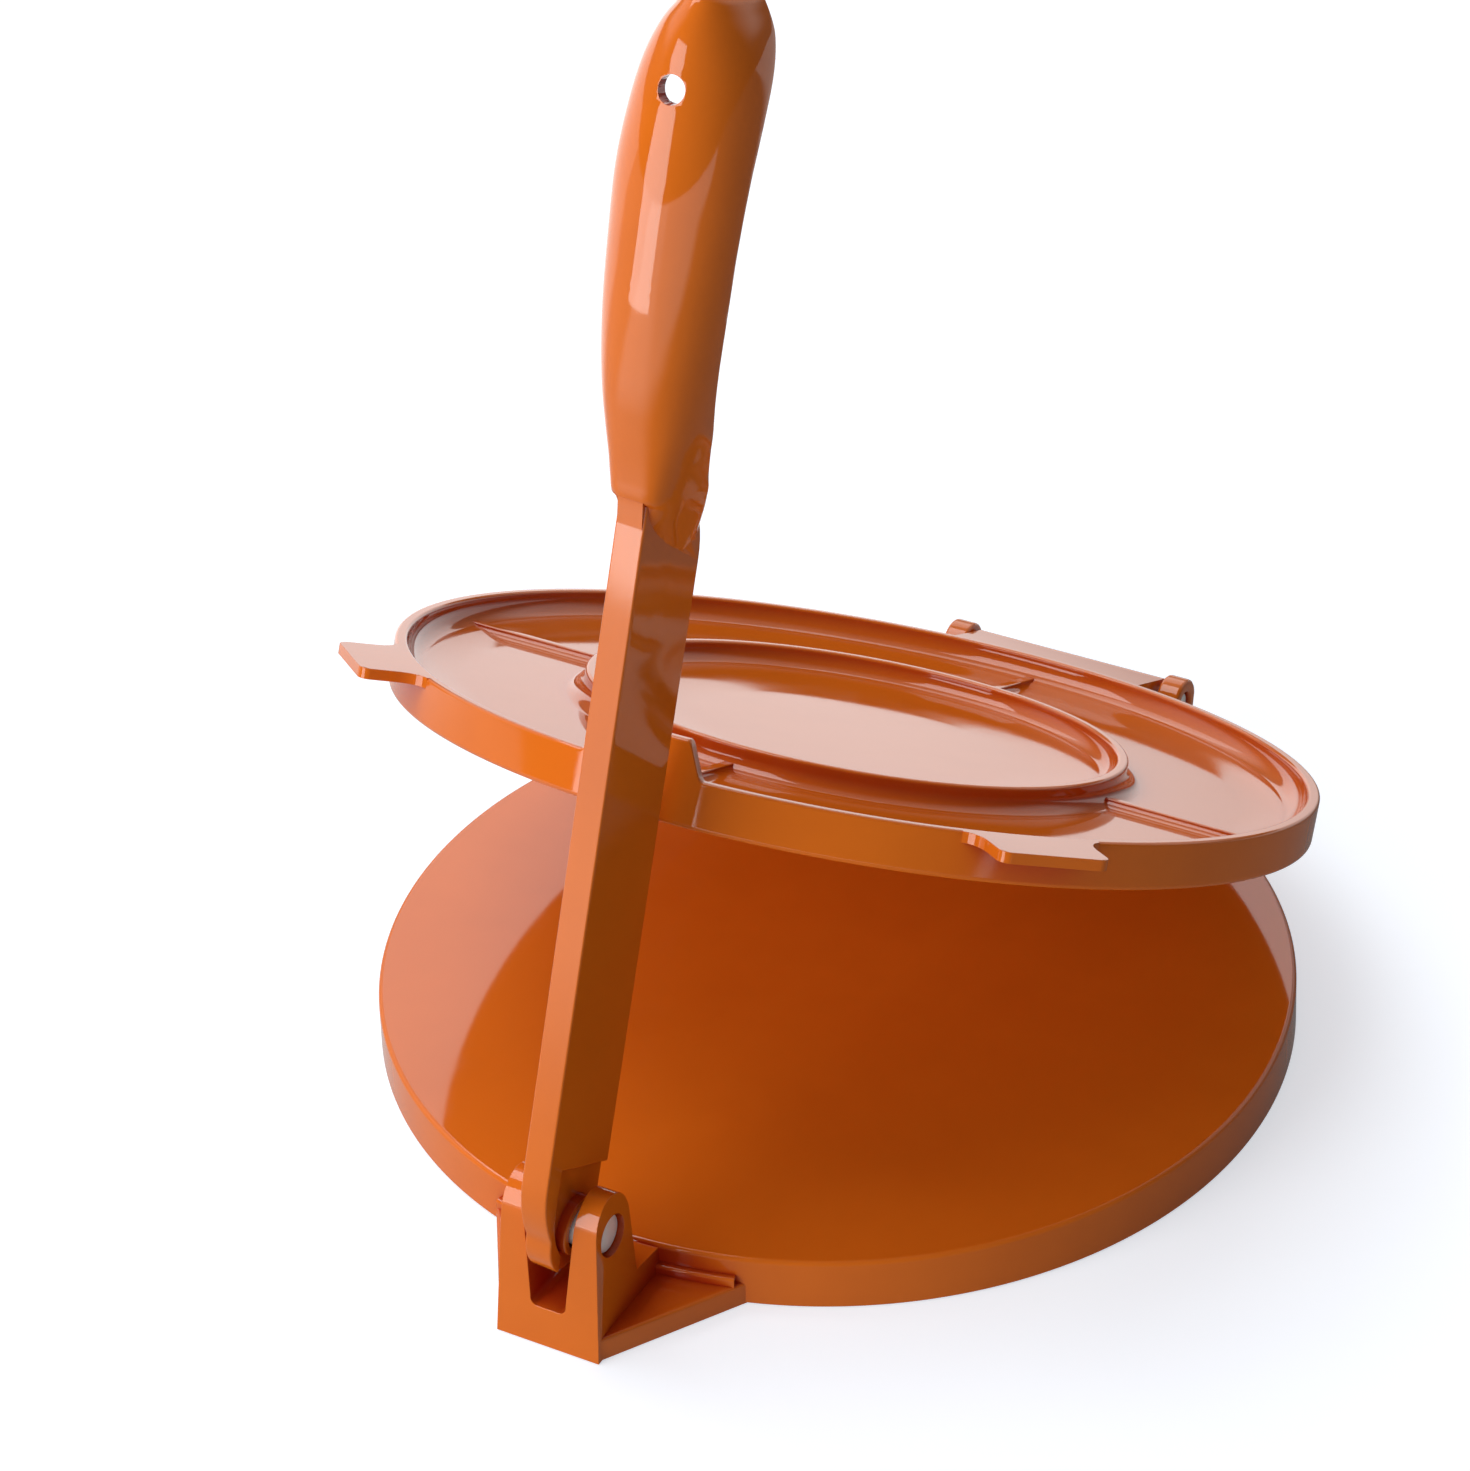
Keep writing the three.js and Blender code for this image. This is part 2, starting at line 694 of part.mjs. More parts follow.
function leverCasting() {
  const shell = gripShell().subtract(gripHollow());
  const boss = toSolid(cylinderAcross(bossRadius, bossHalf));
  const bore = toSolid(cylinderAcross(leverBore, bossHalf + overrun));
  const hole = cylinderAcross(hangingHoleRadius, gripFront).rotateZ(Math.PI / 2);
  const holeAt = leverLength - hangingHoleInset;
  const body = leverBar().subtract(footPockets()).add(boss).add(shell).add(runOutWeb());
  return body.subtract(bore).subtract(toSolid(moved(hole, 0, -gripFront, holeAt)));
}

// A steel pin along X with chamfered ends.
function steelPin(radius, half, y, z) {
  const pin = revolve([
    [0, -half],
    [radius - pinChamfer, -half],
    [radius, pinChamfer - half],
    [radius, half - pinChamfer],
    [radius - pinChamfer, half],
    [0, half],
  ], 2 * arcSteps);
  return pin.rotate([0, 90, 0]).translate([0, y, z]);
}

// Finishes
const enamel = { color: 0xd86a14, roughness: 0.22, metalness: 0 };
const steel = { color: 0xc9c6bd, roughness: 0.3, metalness: 1 };

function piece(name, solid, finish) {
  const mesh = new THREE.Mesh(toGeometry(solid), new THREE.MeshStandardMaterial(finish));
  mesh.name = name;
  return mesh;
}

const press = new THREE.Group();
press.add(piece('base_casting', baseCasting(), enamel));

const pivotHalf = clevisHalf - clevisDraft * pivotZ - pivotPinRecess;
press.add(piece('lever_pivot_pin', steelPin(pivotPinRadius, pivotHalf, pivotY, pivotZ), steel));
const hingeHalf = earInner + earWidth - hingePinRecess;
press.add(piece('hinge_pin', steelPin(hingePinRadius, hingeHalf, hingeY, hingeZ), steel));

// The top plate turns about the hinge, and stands partly open.
const plateTurn = new THREE.Group();
plateTurn.position.set(0, hingeY, hingeZ);
plateTurn.rotation.x = -degrees(plateOpening);
const topPlate = piece('top_plate_casting', topPlateCasting(), enamel);
topPlate.position.set(0, -hingeY, -hingeZ);
plateTurn.add(topPlate);
press.add(plateTurn);

// The lever turns about its pin, leans back over the plate and sits a little to one side.
const leverTurn = new THREE.Group();
leverTurn.position.set(0, pivotY, pivotZ);
leverTurn.rotation.set(-degrees(leverLean), degrees(leverSideLean), 0, 'XYZ');
leverTurn.add(piece('lever_casting', leverCasting(), enamel));
press.add(leverTurn);

export default press;
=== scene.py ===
"""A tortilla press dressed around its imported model: enamelled castings, steel pins and a stage."""

import json
import math

import bmesh
import bpy
from mathutils import Matrix, Vector


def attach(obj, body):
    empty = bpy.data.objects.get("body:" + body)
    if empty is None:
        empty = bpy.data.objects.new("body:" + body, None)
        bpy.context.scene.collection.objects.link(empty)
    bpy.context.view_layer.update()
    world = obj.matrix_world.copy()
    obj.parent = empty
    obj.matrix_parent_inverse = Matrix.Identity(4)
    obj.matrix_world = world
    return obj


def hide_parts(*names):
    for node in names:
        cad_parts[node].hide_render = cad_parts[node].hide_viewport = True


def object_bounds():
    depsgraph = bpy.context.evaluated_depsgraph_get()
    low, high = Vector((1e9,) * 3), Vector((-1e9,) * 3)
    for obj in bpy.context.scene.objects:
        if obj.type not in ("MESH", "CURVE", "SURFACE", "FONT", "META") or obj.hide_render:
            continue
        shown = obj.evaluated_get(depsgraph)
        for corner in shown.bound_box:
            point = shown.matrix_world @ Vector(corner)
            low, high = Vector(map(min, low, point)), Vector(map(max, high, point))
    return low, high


bl_info = {
    "name": "Tortilla Press",
    "version": (1, 0, 0),
    "blender": (4, 5, 0),
    "location": "View3D > Sidebar > Press",
    "description": "Builds and finishes a cast tortilla press around its packed model",
    "category": "Add Mesh",
}

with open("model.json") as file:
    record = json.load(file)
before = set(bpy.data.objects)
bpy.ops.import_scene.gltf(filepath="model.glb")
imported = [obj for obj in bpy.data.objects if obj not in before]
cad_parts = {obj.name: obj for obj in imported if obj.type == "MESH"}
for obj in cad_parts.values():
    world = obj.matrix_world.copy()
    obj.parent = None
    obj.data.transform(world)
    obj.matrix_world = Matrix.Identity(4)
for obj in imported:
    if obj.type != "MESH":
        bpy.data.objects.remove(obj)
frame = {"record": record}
cad_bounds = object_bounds()

MM = 0.001


class CastingSettings(bpy.types.PropertyGroup):
    """How soft the edges and corners of the castings are."""

    soft_edge: bpy.props.FloatProperty(
        name="Soft edge",
        description="Radius on the outer edges of the round base and plate",
        subtype="DISTANCE",
        default=1.1 * MM,
    )
    rim_lip: bpy.props.FloatProperty(
        name="Rim lip",
        description="Radius on the edges along the top of the rim and the ring",
        subtype="DISTANCE",
        default=0.75 * MM,
    )
    rim_fillet: bpy.props.FloatProperty(
        name="Rim fillet",
        description="Radius where the rim runs into the floor of the plate",
        subtype="DISTANCE",
        default=4.5 * MM,
    )
    ring_fillet: bpy.props.FloatProperty(
        name="Ring fillet",
        description="Radius where the ring runs into the floor of the plate",
        subtype="DISTANCE",
        default=3.6 * MM,
    )
    rib_flare: bpy.props.FloatProperty(
        name="Rib flare",
        description="How far the foot of a rib spreads on the floor",
        subtype="DISTANCE",
        default=2.6 * MM,
    )
    bar_round: bpy.props.FloatProperty(
        name="Bar edge",
        description="Radius on the long edges of the lever's bar",
        subtype="DISTANCE",
        default=0.45 * MM,
    )


class EnamelSettings(bpy.types.PropertyGroup):
    """The gloss enamel on the three castings."""

    colour: bpy.props.FloatVectorProperty(
        name="Colour",
        description="Colour of the enamel",
        subtype="COLOR",
        size=3,
        min=0.0,
        max=1.0,
        default=(0.69, 0.148, 0.009),
    )
    deep_colour: bpy.props.FloatVectorProperty(
        name="Deep colour",
        description="Colour of the enamel where the coat is thick",
        subtype="COLOR",
        size=3,
        min=0.0,
        max=1.0,
        default=(0.66, 0.138, 0.008),
    )
    # Painted shade: a darker, redder colour mixed in towards inner corners by ambient occlusion of
    # the piece on itself.
    corner_shade_colour: bpy.props.FloatVectorProperty(
        name="Corner shade colour",
        description="Painted shade: darker, redder colour of the coat towards inner corners",
        subtype="COLOR",
        size=3,
        min=0.0,
        max=1.0,
        default=(0.40, 0.018, 0.004),
    )
    # Painted shade: how far from an inner corner the ambient occlusion darkens the colour.
    corner_shade_reach: bpy.props.FloatProperty(
        name="Corner shade reach",
        description="How far from an inner corner the painted shade reaches",
        unit="LENGTH",
        min=0.0,
        default=26 * MM,
    )
    roughness: bpy.props.FloatProperty(
        name="Roughness",
        description="Mean roughness of the coat",
        subtype="FACTOR",
        min=0.0,
        max=1.0,
        default=0.07,
    )
    ripple: bpy.props.FloatProperty(
        name="Ripple height",
        description="Height of the soft waves that a sprayed coat keeps",
        subtype="DISTANCE",
        default=0.02 * MM,
    )


class SteelSettings(bpy.types.PropertyGroup):
    """The bright steel of the pins."""

    colour: bpy.props.FloatVectorProperty(
        name="Colour",
        description="Colour of the steel",
        subtype="COLOR",
        size=3,
        min=0.0,
        max=1.0,
        default=(0.96, 0.95, 0.91),
    )
    metal_share: bpy.props.FloatProperty(
        name="Bare metal share",
        description="Share of the surface that mirrors; the rest scatters the light",
        subtype="FACTOR",
        min=0.0,
        max=1.0,
        default=0.4,
    )
    roughness: bpy.props.FloatProperty(
        name="Roughness",
        description="Mean roughness of the cropped ends",
        subtype="FACTOR",
        min=0.0,
        max=1.0,
        default=0.42,
    )


class StageSettings(bpy.types.PropertyGroup):
    """Camera, floor and lights."""

    azimuth: bpy.props.FloatProperty(
        name="Azimuth",
        description="Angle of the camera to the right of the front",
        subtype="ANGLE",
        default=math.radians(30.22),
    )
    elevation: bpy.props.FloatProperty(
        name="Elevation",
        description="Angle of the camera above the horizon",
        subtype="ANGLE",
        default=math.radians(34.72),
    )
    roll: bpy.props.FloatProperty(
        name="Roll",
        description="Tilt of the camera about its own line of sight",
        subtype="ANGLE",
        default=math.radians(-2.56),
    )
    distance: bpy.props.FloatProperty(
        name="Distance",
        description="Distance from the camera to the centre of the base",
        subtype="DISTANCE",
        default=1.01826,
    )
    slide_right: bpy.props.FloatProperty(
        name="Slide right",
        description="Move of the camera along its own right",
        subtype="DISTANCE",
        default=-0.02247,
    )
    slide_up: bpy.props.FloatProperty(
        name="Slide up",
        description="Move of the camera along its own up",
        subtype="DISTANCE",
        default=0.05842,
    )
    lens: bpy.props.FloatProperty(
        name="Lens",
        description="Focal length in millimetres",
        unit="CAMERA",
        default=113.33,
    )
    floor_colour: bpy.props.FloatVectorProperty(
        name="Floor colour",
        description="Colour of the floor",
        subtype="COLOR",
        size=3,
        min=0.0,
        max=1.0,
        default=(0.61, 0.64, 0.68),
    )
    floor_lift: bpy.props.FloatProperty(
        name="Floor lift",
        description="Glow of the floor round the press that only the camera sees",
        default=0.60,
    )
    key_power: bpy.props.FloatProperty(
        name="Key light",
        description="Power of the tall soft lamp at the front left",
        subtype="POWER",
        default=10.0,
    )
    top_power: bpy.props.FloatProperty(
        name="Top light",
        description="Power of the wide soft lamp high on the left",
        subtype="POWER",
        default=23.0,
    )
    room_light: bpy.props.FloatProperty(
        name="Room light",
        description="Strength of the soft light from the left and the front",
        default=0.66,
    )
    right_share: bpy.props.FloatProperty(
        name="Right share",
        description="Room light from the right and the back, as a share of room light",
        subtype="FACTOR",
        min=0.0,
        max=1.0,
        default=0.06,
    )
    # Painted reflections: the floor glows below are emission that only glossy rays see.
    floor_gloss: bpy.props.FloatProperty(
        name="Floor in the gloss",
        description="Painted reflection: glow that only glossy rays see on the floor at the front left",
        default=1.0,
    )
    floor_back: bpy.props.FloatProperty(
        name="Floor at the back",
        description="Further glow, in the gloss, of the floor far behind",
        default=0.8,
    )
    floor_left: bpy.props.FloatProperty(
        name="Floor at the left",
        description="Glow, in the gloss, of the floor at the left",
        default=0.65,
    )
    floor_right: bpy.props.FloatProperty(
        name="Floor at the right",
        description="Glow, in the gloss, of the floor at the right",
        default=0.16,
    )
    back_power: bpy.props.FloatProperty(
        name="Back lamp",
        description="Power of the soft lamp behind on the left",
        subtype="POWER",
        default=3.0,
    )
    dim_side: bpy.props.FloatProperty(
        name="Dim side",
        description="How bright the room in front of the press looks in its gloss",
        default=0.06,
    )


class Link:
    """One output of a shader node. Sums on it add Math nodes to the same tree."""

    def __init__(self, finish, socket):
        self.finish = finish
        self.socket = socket

    def _maths(self, operation, *values):
        settings = {"operation": operation}
        return self.finish.node("ShaderNodeMath", settings, dict(enumerate(values)))

    def __add__(self, other):
        return self._maths("ADD", self, other)

    def __radd__(self, other):
        return self._maths("ADD", other, self)

    def __sub__(self, other):
        return self._maths("SUBTRACT", self, other)

    def __rsub__(self, other):
        return self._maths("SUBTRACT", other, self)

    def __mul__(self, other):
        return self._maths("MULTIPLY", self, other)

    def __rmul__(self, other):
        return self._maths("MULTIPLY", other, self)

    def larger(self, other):
        return self._maths("MAXIMUM", self, other)

    def ramp(self, low, high, out_low=0.0, out_high=1.0):
        """A smooth step from out_low to out_high between two values."""
        smooth = {"interpolation_type": "SMOOTHSTEP"}
        ends = {"From Min": low, "From Max": high, "To Min": out_low, "To Max": out_high}
        return self.finish.node("ShaderNodeMapRange", smooth, {"Value": self, **ends})

    def mix(self, first, second):
        """Colour first where this is 0 and second where it is 1."""
        settings = {"data_type": "RGBA"}
        return self.finish.node("ShaderNodeMix", settings, {0: self, 6: first, 7: second}, 2)


class Finish:
    """A material under construction."""

    def __init__(self, tree):
        self.tree = tree
        tree.nodes.clear()

    def node(self, kind, settings=None, inputs=None, output=0):
        """Adds a node, sets its settings, then its sockets, and returns one of its outputs."""
        made = self.tree.nodes.new(kind)
        for key, value in (settings or {}).items():
            setattr(made, key, value)
        for key, value in (inputs or {}).items():
            if isinstance(value, Link):
                self.tree.links.new(value.socket, made.inputs[key])
            else:
                made.inputs[key].default_value = value
        return Link(self, made.outputs[output]) if made.outputs else made

    def place(self):
        """The point on the piece, in metres, at rest."""
        return self.node("ShaderNodeTexCoord", None, None, "Object")

    def parts(self, vector):
        """The X, Y and Z of a vector."""
        apart = {"Vector": vector}
        return [self.node("ShaderNodeSeparateXYZ", None, apart, axis) for axis in "XYZ"]

    def noise(self, size, detail=2.0, roughness=0.5, stretch=None):
        """Noise with features of a size in metres, stretched along some axes if asked."""
        vector = self.place()
        if stretch:
            vector = self.node("ShaderNodeMapping", None, {"Vector": vector, "Scale": stretch})
        grain = {"Scale": 1.0 / size, "Detail": detail, "Roughness": roughness}
        return self.node("ShaderNodeTexNoise", None, {"Vector": vector, **grain})

    def bump(self, height, distance, strength=1.0, normal=None):
        inputs = {"Height": height, "Distance": distance, "Strength": strength}
        if normal:
            inputs["Normal"] = normal
        return self.node("ShaderNodeBump", None, inputs)

    def surface(self, shader):
        self.node("ShaderNodeOutputMaterial", None, {"Surface": shader})


def new_finish(name):
    material = bpy.data.materials.new(name)
    material.use_nodes = True
    return material, Finish(material.node_tree)


def opaque(colour):
    return (*colour, 1.0)


# Sizes of the marks in the finishes, in metres
THICKNESS_PATCH = 0.045
CLOUD_PATCH = 0.012
HAZE_PATCH = 0.02
SMEAR_PATCH = 0.006
WAVE_LENGTH = 0.02
PEEL_LENGTH = 0.0022
NIB_LENGTH = 0.0011
DRAW_MARK = 0.0008
STAIN_PATCH = 0.003
FLOOR_GRAIN = 0.003
GROOVE_DEPTH = 0.00003

ENAMEL_IOR = 1.55
STAIN_COLOUR = (0.55, 0.52, 0.47)


def orange_enamel():
    """Sprayed and baked gloss coat: soft waves, fine orange peel, dust nibs and hazing, with painted
    shade darkening inner corners.
    """
    settings = bpy.context.scene.press_enamel
    material, finish = new_finish("gloss_enamel")
    thickness = finish.noise(THICKNESS_PATCH, 3.0, 0.55)
    cloud = finish.noise(CLOUD_PATCH, 2.0)
    depth = (thickness * 0.75 + cloud * 0.25).ramp(0.36, 0.66)
    colour = depth.mix(opaque(settings.colour), opaque(settings.deep_colour))
    # Painted shade: ambient occlusion within the piece mixes in the corner shade colour near inner
    # corners.
    within = {"samples": 6, "only_local": True}
    reach = {"Distance": settings.corner_shade_reach}
    openness = finish.node("ShaderNodeAmbientOcclusion", within, reach, 1)
    colour = openness.ramp(0.4, 1.0, 1.0, 0.0).mix(colour, opaque(settings.corner_shade_colour))
    haze = finish.noise(HAZE_PATCH, 4.0, 0.6).ramp(0.45, 0.75)
    smear = finish.noise(SMEAR_PATCH, 3.0, 0.6, (1.0, 0.25, 1.0))
    roughness = haze * 0.04 + smear * 0.03 + (settings.roughness - 0.03)
    waves = finish.noise(WAVE_LENGTH, 1.0)
    peel = finish.noise(PEEL_LENGTH, 1.0)
    nibs = finish.noise(NIB_LENGTH, 0.0).ramp(0.80, 0.88)
    coat = finish.bump(waves, settings.ripple)
    coat = finish.bump(peel, settings.ripple * 0.03, 1.0, coat)
    coat = finish.bump(nibs, settings.ripple * 0.2, 0.4, coat)
    look = {"Base Color": colour, "Roughness": roughness, "IOR": ENAMEL_IOR, "Normal": coat}
    finish.surface(finish.node("ShaderNodeBsdfPrincipled", None, look))
    return material


def pin_steel():
    """Cropped steel rod: a grain across the ends, draw marks along the shank, small stains."""
    settings = bpy.context.scene.press_steel
    material, finish = new_finish("cropped_steel")
    marks = finish.noise(DRAW_MARK, 3.0, 0.6, (0.06, 1.0, 1.0))
    stain = finish.noise(STAIN_PATCH, 4.0, 0.6).ramp(0.5, 0.72)
    colour = (stain * 0.25).mix(opaque(settings.colour), opaque(STAIN_COLOUR))
    roughness = marks * 0.14 + stain * 0.1 + (settings.roughness - 0.07)
    grooves = finish.bump(marks, GROOVE_DEPTH)
    look = {"Base Color": colour, "Roughness": roughness, "Normal": grooves}
    look["Metallic"] = settings.metal_share
    finish.surface(finish.node("ShaderNodeBsdfPrincipled", None, look))
    return material


def size(name):
    """A size from the casting settings, in millimetres."""
    return getattr(bpy.context.scene.press_castings, name) / MM


# Round base disc, in millimetres like every size below
DISC_RADIUS = 100.0
DISC_THICKNESS = 11.5
DISC_DRAFT = 0.2
DISC_FLOOR = 4.6
DISC_WALL = 3.4
PLATE_INSET = 0.3
PLATE_RADIUS = DISC_RADIUS - PLATE_INSET
RING_RADIUS = PLATE_RADIUS - 41.0
STIFFENER_WALL = 2.6
BASE_RIB_WIDTH = 2.8
CORE_FILLET = 2.2
FOOT_ROUND = 0.35
EDGE_MARGIN = 0.4

# Hinge at the back
HINGE_Y = DISC_RADIUS + 17.3
HINGE_Z = 15.6
EAR_RADIUS = 6.0
EAR_INNER = 24.9
EAR_WIDTH = 5.5
EAR_FOOT_LENGTH = 9.0
EAR_ARC_END = 145.0
KNUCKLE_RADIUS = 4.7
KNUCKLE_GAP = 1.0
TONGUE_UNDER_ANGLE = 30.0
KNUCKLE_ARC_END = 100.0
HINGE_PIN_RADIUS = 2.6
HINGE_PIN_RECESS = 0.6
HINGE_PIN_DOME = 0.2
EAR_ROUND = 0.8
TONGUE_ROUND = 0.7
TONGUE_RISE = 0.3

# Top plate
PLATE_GAP = 0.4
RIM_HEIGHT = 9.9
RIM_WALL = 2.7
PLATE_FLOOR = 3.6
DISH_RISE = 1.0
RIM_DISH = 9.0
RING_DISH = 18.0
RING_HEIGHT = 9.1
RING_WALL = 2.5
RIB_HEIGHT = 5.3
RIB_WIDTH = 2.4
RIB_ROUND = 0.4
RIB_SINK = 0.3
PLATE_OPENING = 24.8
NOSE_HEIGHT = 17.5
NOSE_TOP_HALF = 9.8
NOSE_ROOT_HALF = 13.1
NOSE_BLEND = 1.3
TAB_ANGLE = 44.0
TAB_WIDTH = 23.0
TAB_REACH = 12.9
TAB_THICKNESS = 2.3
TAB_CORNER = 2.2
TAB_FLARE = 3.0
TAB_ROUND = 0.6
TAB_ROOT_SHARE = 0.62

# Clevis and foot flanges
CLEVIS_FRONT = DISC_RADIUS + 25.0
CLEVIS_HALF = 11.9
CLEVIS_DRAFT = 0.032
CLEVIS_LEAN = 0.13
CLEVIS_TOP = 35.5
ARCH_RISE = 8.4
ARCH_DEPTH = 13.2
ARCH_START = 6.0
CLEVIS_BACK_LEAN = 0.02
CLEVIS_ROUND = 0.95
SLOT_FLOOR = 9.0
SLOT_HALF = 4.05
SLOT_TOP_HALF = 6.15
SLOT_FLARE_START = 11.0
SLOT_CORNER = 1.6
FLANGE_REACH = 29.6
FLANGE_BACK = math.sqrt(DISC_RADIUS**2 - FLANGE_REACH**2)
FLANGE_HEIGHT = 5.2
FLANGE_ROUND = 0.8
LEDGE_HEIGHT = 7.2
LEDGE_WIDTH = 1.7
LEDGE_ROUND = 0.7
LEDGE_HALF_ANGLE = 16.0

# Lever and its pivot
PIVOT_Y = -DISC_RADIUS - 15.2
PIVOT_Z = 26.0
PIVOT_PIN_RADIUS = 4.2
PIVOT_PIN_RECESS = 0.7
PIVOT_PIN_DOME = 0.5
PIN_SHOULDER = 0.5
PIN_GAP = 0.3
LEVER_LEAN = 15.0
LEVER_SIDE_LEAN = 3.5
BAR_FRONT = 15.25
BAR_BACK = 9.4
BAR_FOOT_HALF = 2.95
BAR_TOP_HALF = 3.05
BAR_LENGTH = 157.5
HEEL_RADIUS = 10.3
HEEL_BLEND = 14.0
BOSS_RADIUS = 6.3
BOSS_HALF = 3.8
BOSS_ROUND = 0.4
LEVER_BORE = 4.85
POCKET_DEPTH = 1.3
POCKET_STRIP = 5.4
POCKET_FRONT_TOP = 16.1
POCKET_BACK_TOP = 9.5
GRIP_LENGTH = 97.0
GRIP_HALF = 13.0
GRIP_FRONT = 24.9
GRIP_RIM_FRONT = 13.3
GRIP_WALL = 2.6
HOLLOW_START = 5.0
HOLLOW_RUN = 9.0
BACK_CURVE_LENGTH = 17.0
HOLE_RADIUS = 2.7
HOLE_INSET = 17.2
HOLE_ROUND = 0.35
WEB_RUN_OUT = 28.5
WEB_INSET = 0.4
WEB_ROUND = 0.7

# Fineness of the meshes
TURN_STEPS = 256
PIN_STEPS = 64
ARC_STEPS = 8
BORE_STEPS = 5 * ARC_STEPS
FLANK_STEPS = 30
TAB_STEPS = 8
OVERRUN = 3.0
WELD = 1e-4
SLIVER_SIZES = (0.01, 0.005, 0.002, 0.0005)
FLAT_ANGLE = 0.5
CREASE_ANGLE = 35.0
SMOOTH_ANGLE = 38.0


def solid(points, faces):
    """A new object from points in millimetres, with its faces turned outwards."""
    mesh = bpy.data.meshes.new("casting")
    mesh.from_pydata(points, [], faces)
    shape = bmesh.new()
    shape.from_mesh(mesh)
    bmesh.ops.remove_doubles(shape, verts=shape.verts, dist=WELD)
    bmesh.ops.recalc_face_normals(shape, faces=shape.faces)
    shape.to_mesh(mesh)
    shape.free()
    made = bpy.data.objects.new("casting", mesh)
    bpy.context.scene.collection.objects.link(made)
    return made


def loft(rings):
    """A closed body through rings of points, with a flat face at each end."""
    count = len(rings[0])
    faces = [tuple(range(count)), tuple(range((len(rings) - 1) * count, len(rings) * count))]
    for ring in range(len(rings) - 1):
        for i in range(count):
            a = ring * count + i
            b = ring * count + (i + 1) % count
            faces.append((a, b, b + count, a + count))
    return solid([point for ring in rings for point in ring], faces)


def even_angles(steps):
    return [math.tau * step / steps for step in range(steps)]


def revolve(profile, angles=None, rise=None):
    """A body turned about Z from a closed profile of (radius, height, lifted share)."""
    angles = angles or even_angles(TURN_STEPS)
    count = len(profile)
    points = []
    for angle in angles:
        lift = rise(angle) if rise else 0.0
        for radius, height, *share in profile:
            up = lift * share[0] if share else 0.0
            points.append((radius * math.cos(angle), radius * math.sin(angle), height + up))
    faces = []
    for turn in range(len(angles)):
        here, there = turn * count, (turn + 1) % len(angles) * count
        for i in range(count):
            j = (i + 1) % count
            if profile[i][0] or profile[j][0]:
                faces.append((here + i, here + j, there + j, there + i))
    return solid(points, faces)


PLACERS = {
    "X": lambda u, v, w: (w, u, v),
    "Y": lambda u, v, w: (u, w, v),
    "Z": lambda u, v, w: (u, v, w),
}


def prism(outline, low, high, axis):
    """An outline drawn square to an axis and spread along it from low to high."""
    place = PLACERS[axis]
    return loft([[place(u, v, w) for u, v in outline] for w in (low, high)])


def arc(centre_u, centre_v, radius, start, end, steps=ARC_STEPS, radius_v=None):
    """Points on an arc between two angles in degrees."""
    points = []
    for step in range(steps + 1):
        angle = math.radians(start + (end - start) * step / steps)
        u = centre_u + radius * math.cos(angle)
        v = centre_v + (radius_v or radius) * math.sin(angle)
        points.append((u, v))
    return points


def circle(centre_u, centre_v, radius, steps=BORE_STEPS):
    return arc(centre_u, centre_v, radius, 0, 360, steps)[:-1]


def curve(start, control, end, steps=ARC_STEPS):
    """Points on a quadratic curve, without its first one."""
    points = []
    for step in range(1, steps + 1):
        t = step / steps
        weights = ((1 - t) ** 2, 2 * t * (1 - t), t * t)
        points.append(
            tuple(sum(w * p[k] for w, p in zip(weights, (start, control, end))) for k in (0, 1))
        )
    return points


def settle(piece):
    """Turns the result of a piece's modifiers into its mesh."""
    graph = bpy.context.evaluated_depsgraph_get()
    mesh = bpy.data.meshes.new_from_object(piece.evaluated_get(graph))
    old = piece.data
    piece.modifiers.clear()
    piece.data = mesh
    bpy.data.meshes.remove(old)


def combine(piece, tools, operation):
    for tool in tools:
        modifier = piece.modifiers.new("combine", "BOOLEAN")
        modifier.operation = operation
        modifier.solver = "EXACT"
        modifier.object = tool
        settle(piece)
        bpy.data.objects.remove(tool)
    return piece


def join(piece, *parts):
    return combine(piece, parts, "UNION")


def cut(piece, *tools):
    return combine(piece, tools, "DIFFERENCE")


def soften(piece, width, where=None, steps=3):
    """Rounds the creases, or only those where a test of their middle holds."""
    shape = bmesh.new()
    shape.from_mesh(piece.data)
    flat = math.radians(FLAT_ANGLE)
    bmesh.ops.dissolve_limit(shape, angle_limit=flat, verts=shape.verts, edges=shape.edges)
    chosen = []
    for edge in shape.edges:
        sharp = edge.calc_face_angle(0.0) > math.radians(CREASE_ANGLE)
        if sharp and (where is None or where((edge.verts[0].co + edge.verts[1].co) / 2)):
            chosen.append(edge)
    evenly = {"segments": steps, "profile": 0.5, "affect": "EDGES", "clamp_overlap": True}
    bmesh.ops.bevel(shape, geom=chosen, offset=width, **evenly)
    shape.to_mesh(piece.data)
    shape.free()
    return piece


def turned(piece, angle):
    piece.data.transform(Matrix.Rotation(math.radians(angle), 4, "Z"))
    return piece


def clean_up(piece, name):
    """Takes slivers and many-sided faces out of the mesh and leaves it closed."""
    for reach in SLIVER_SIZES:
        check = bmesh.new()
        check.from_mesh(piece.data)
        bmesh.ops.dissolve_degenerate(check, dist=reach, edges=check.edges)
        bmesh.ops.triangulate(check, faces=[face for face in check.faces if len(face.verts) > 4])
        closed = all(edge.is_manifold for edge in check.edges)
        if closed:
            check.to_mesh(piece.data)
        check.free()
        if closed:
            return
    raise RuntimeError(f"{name} has open edges")


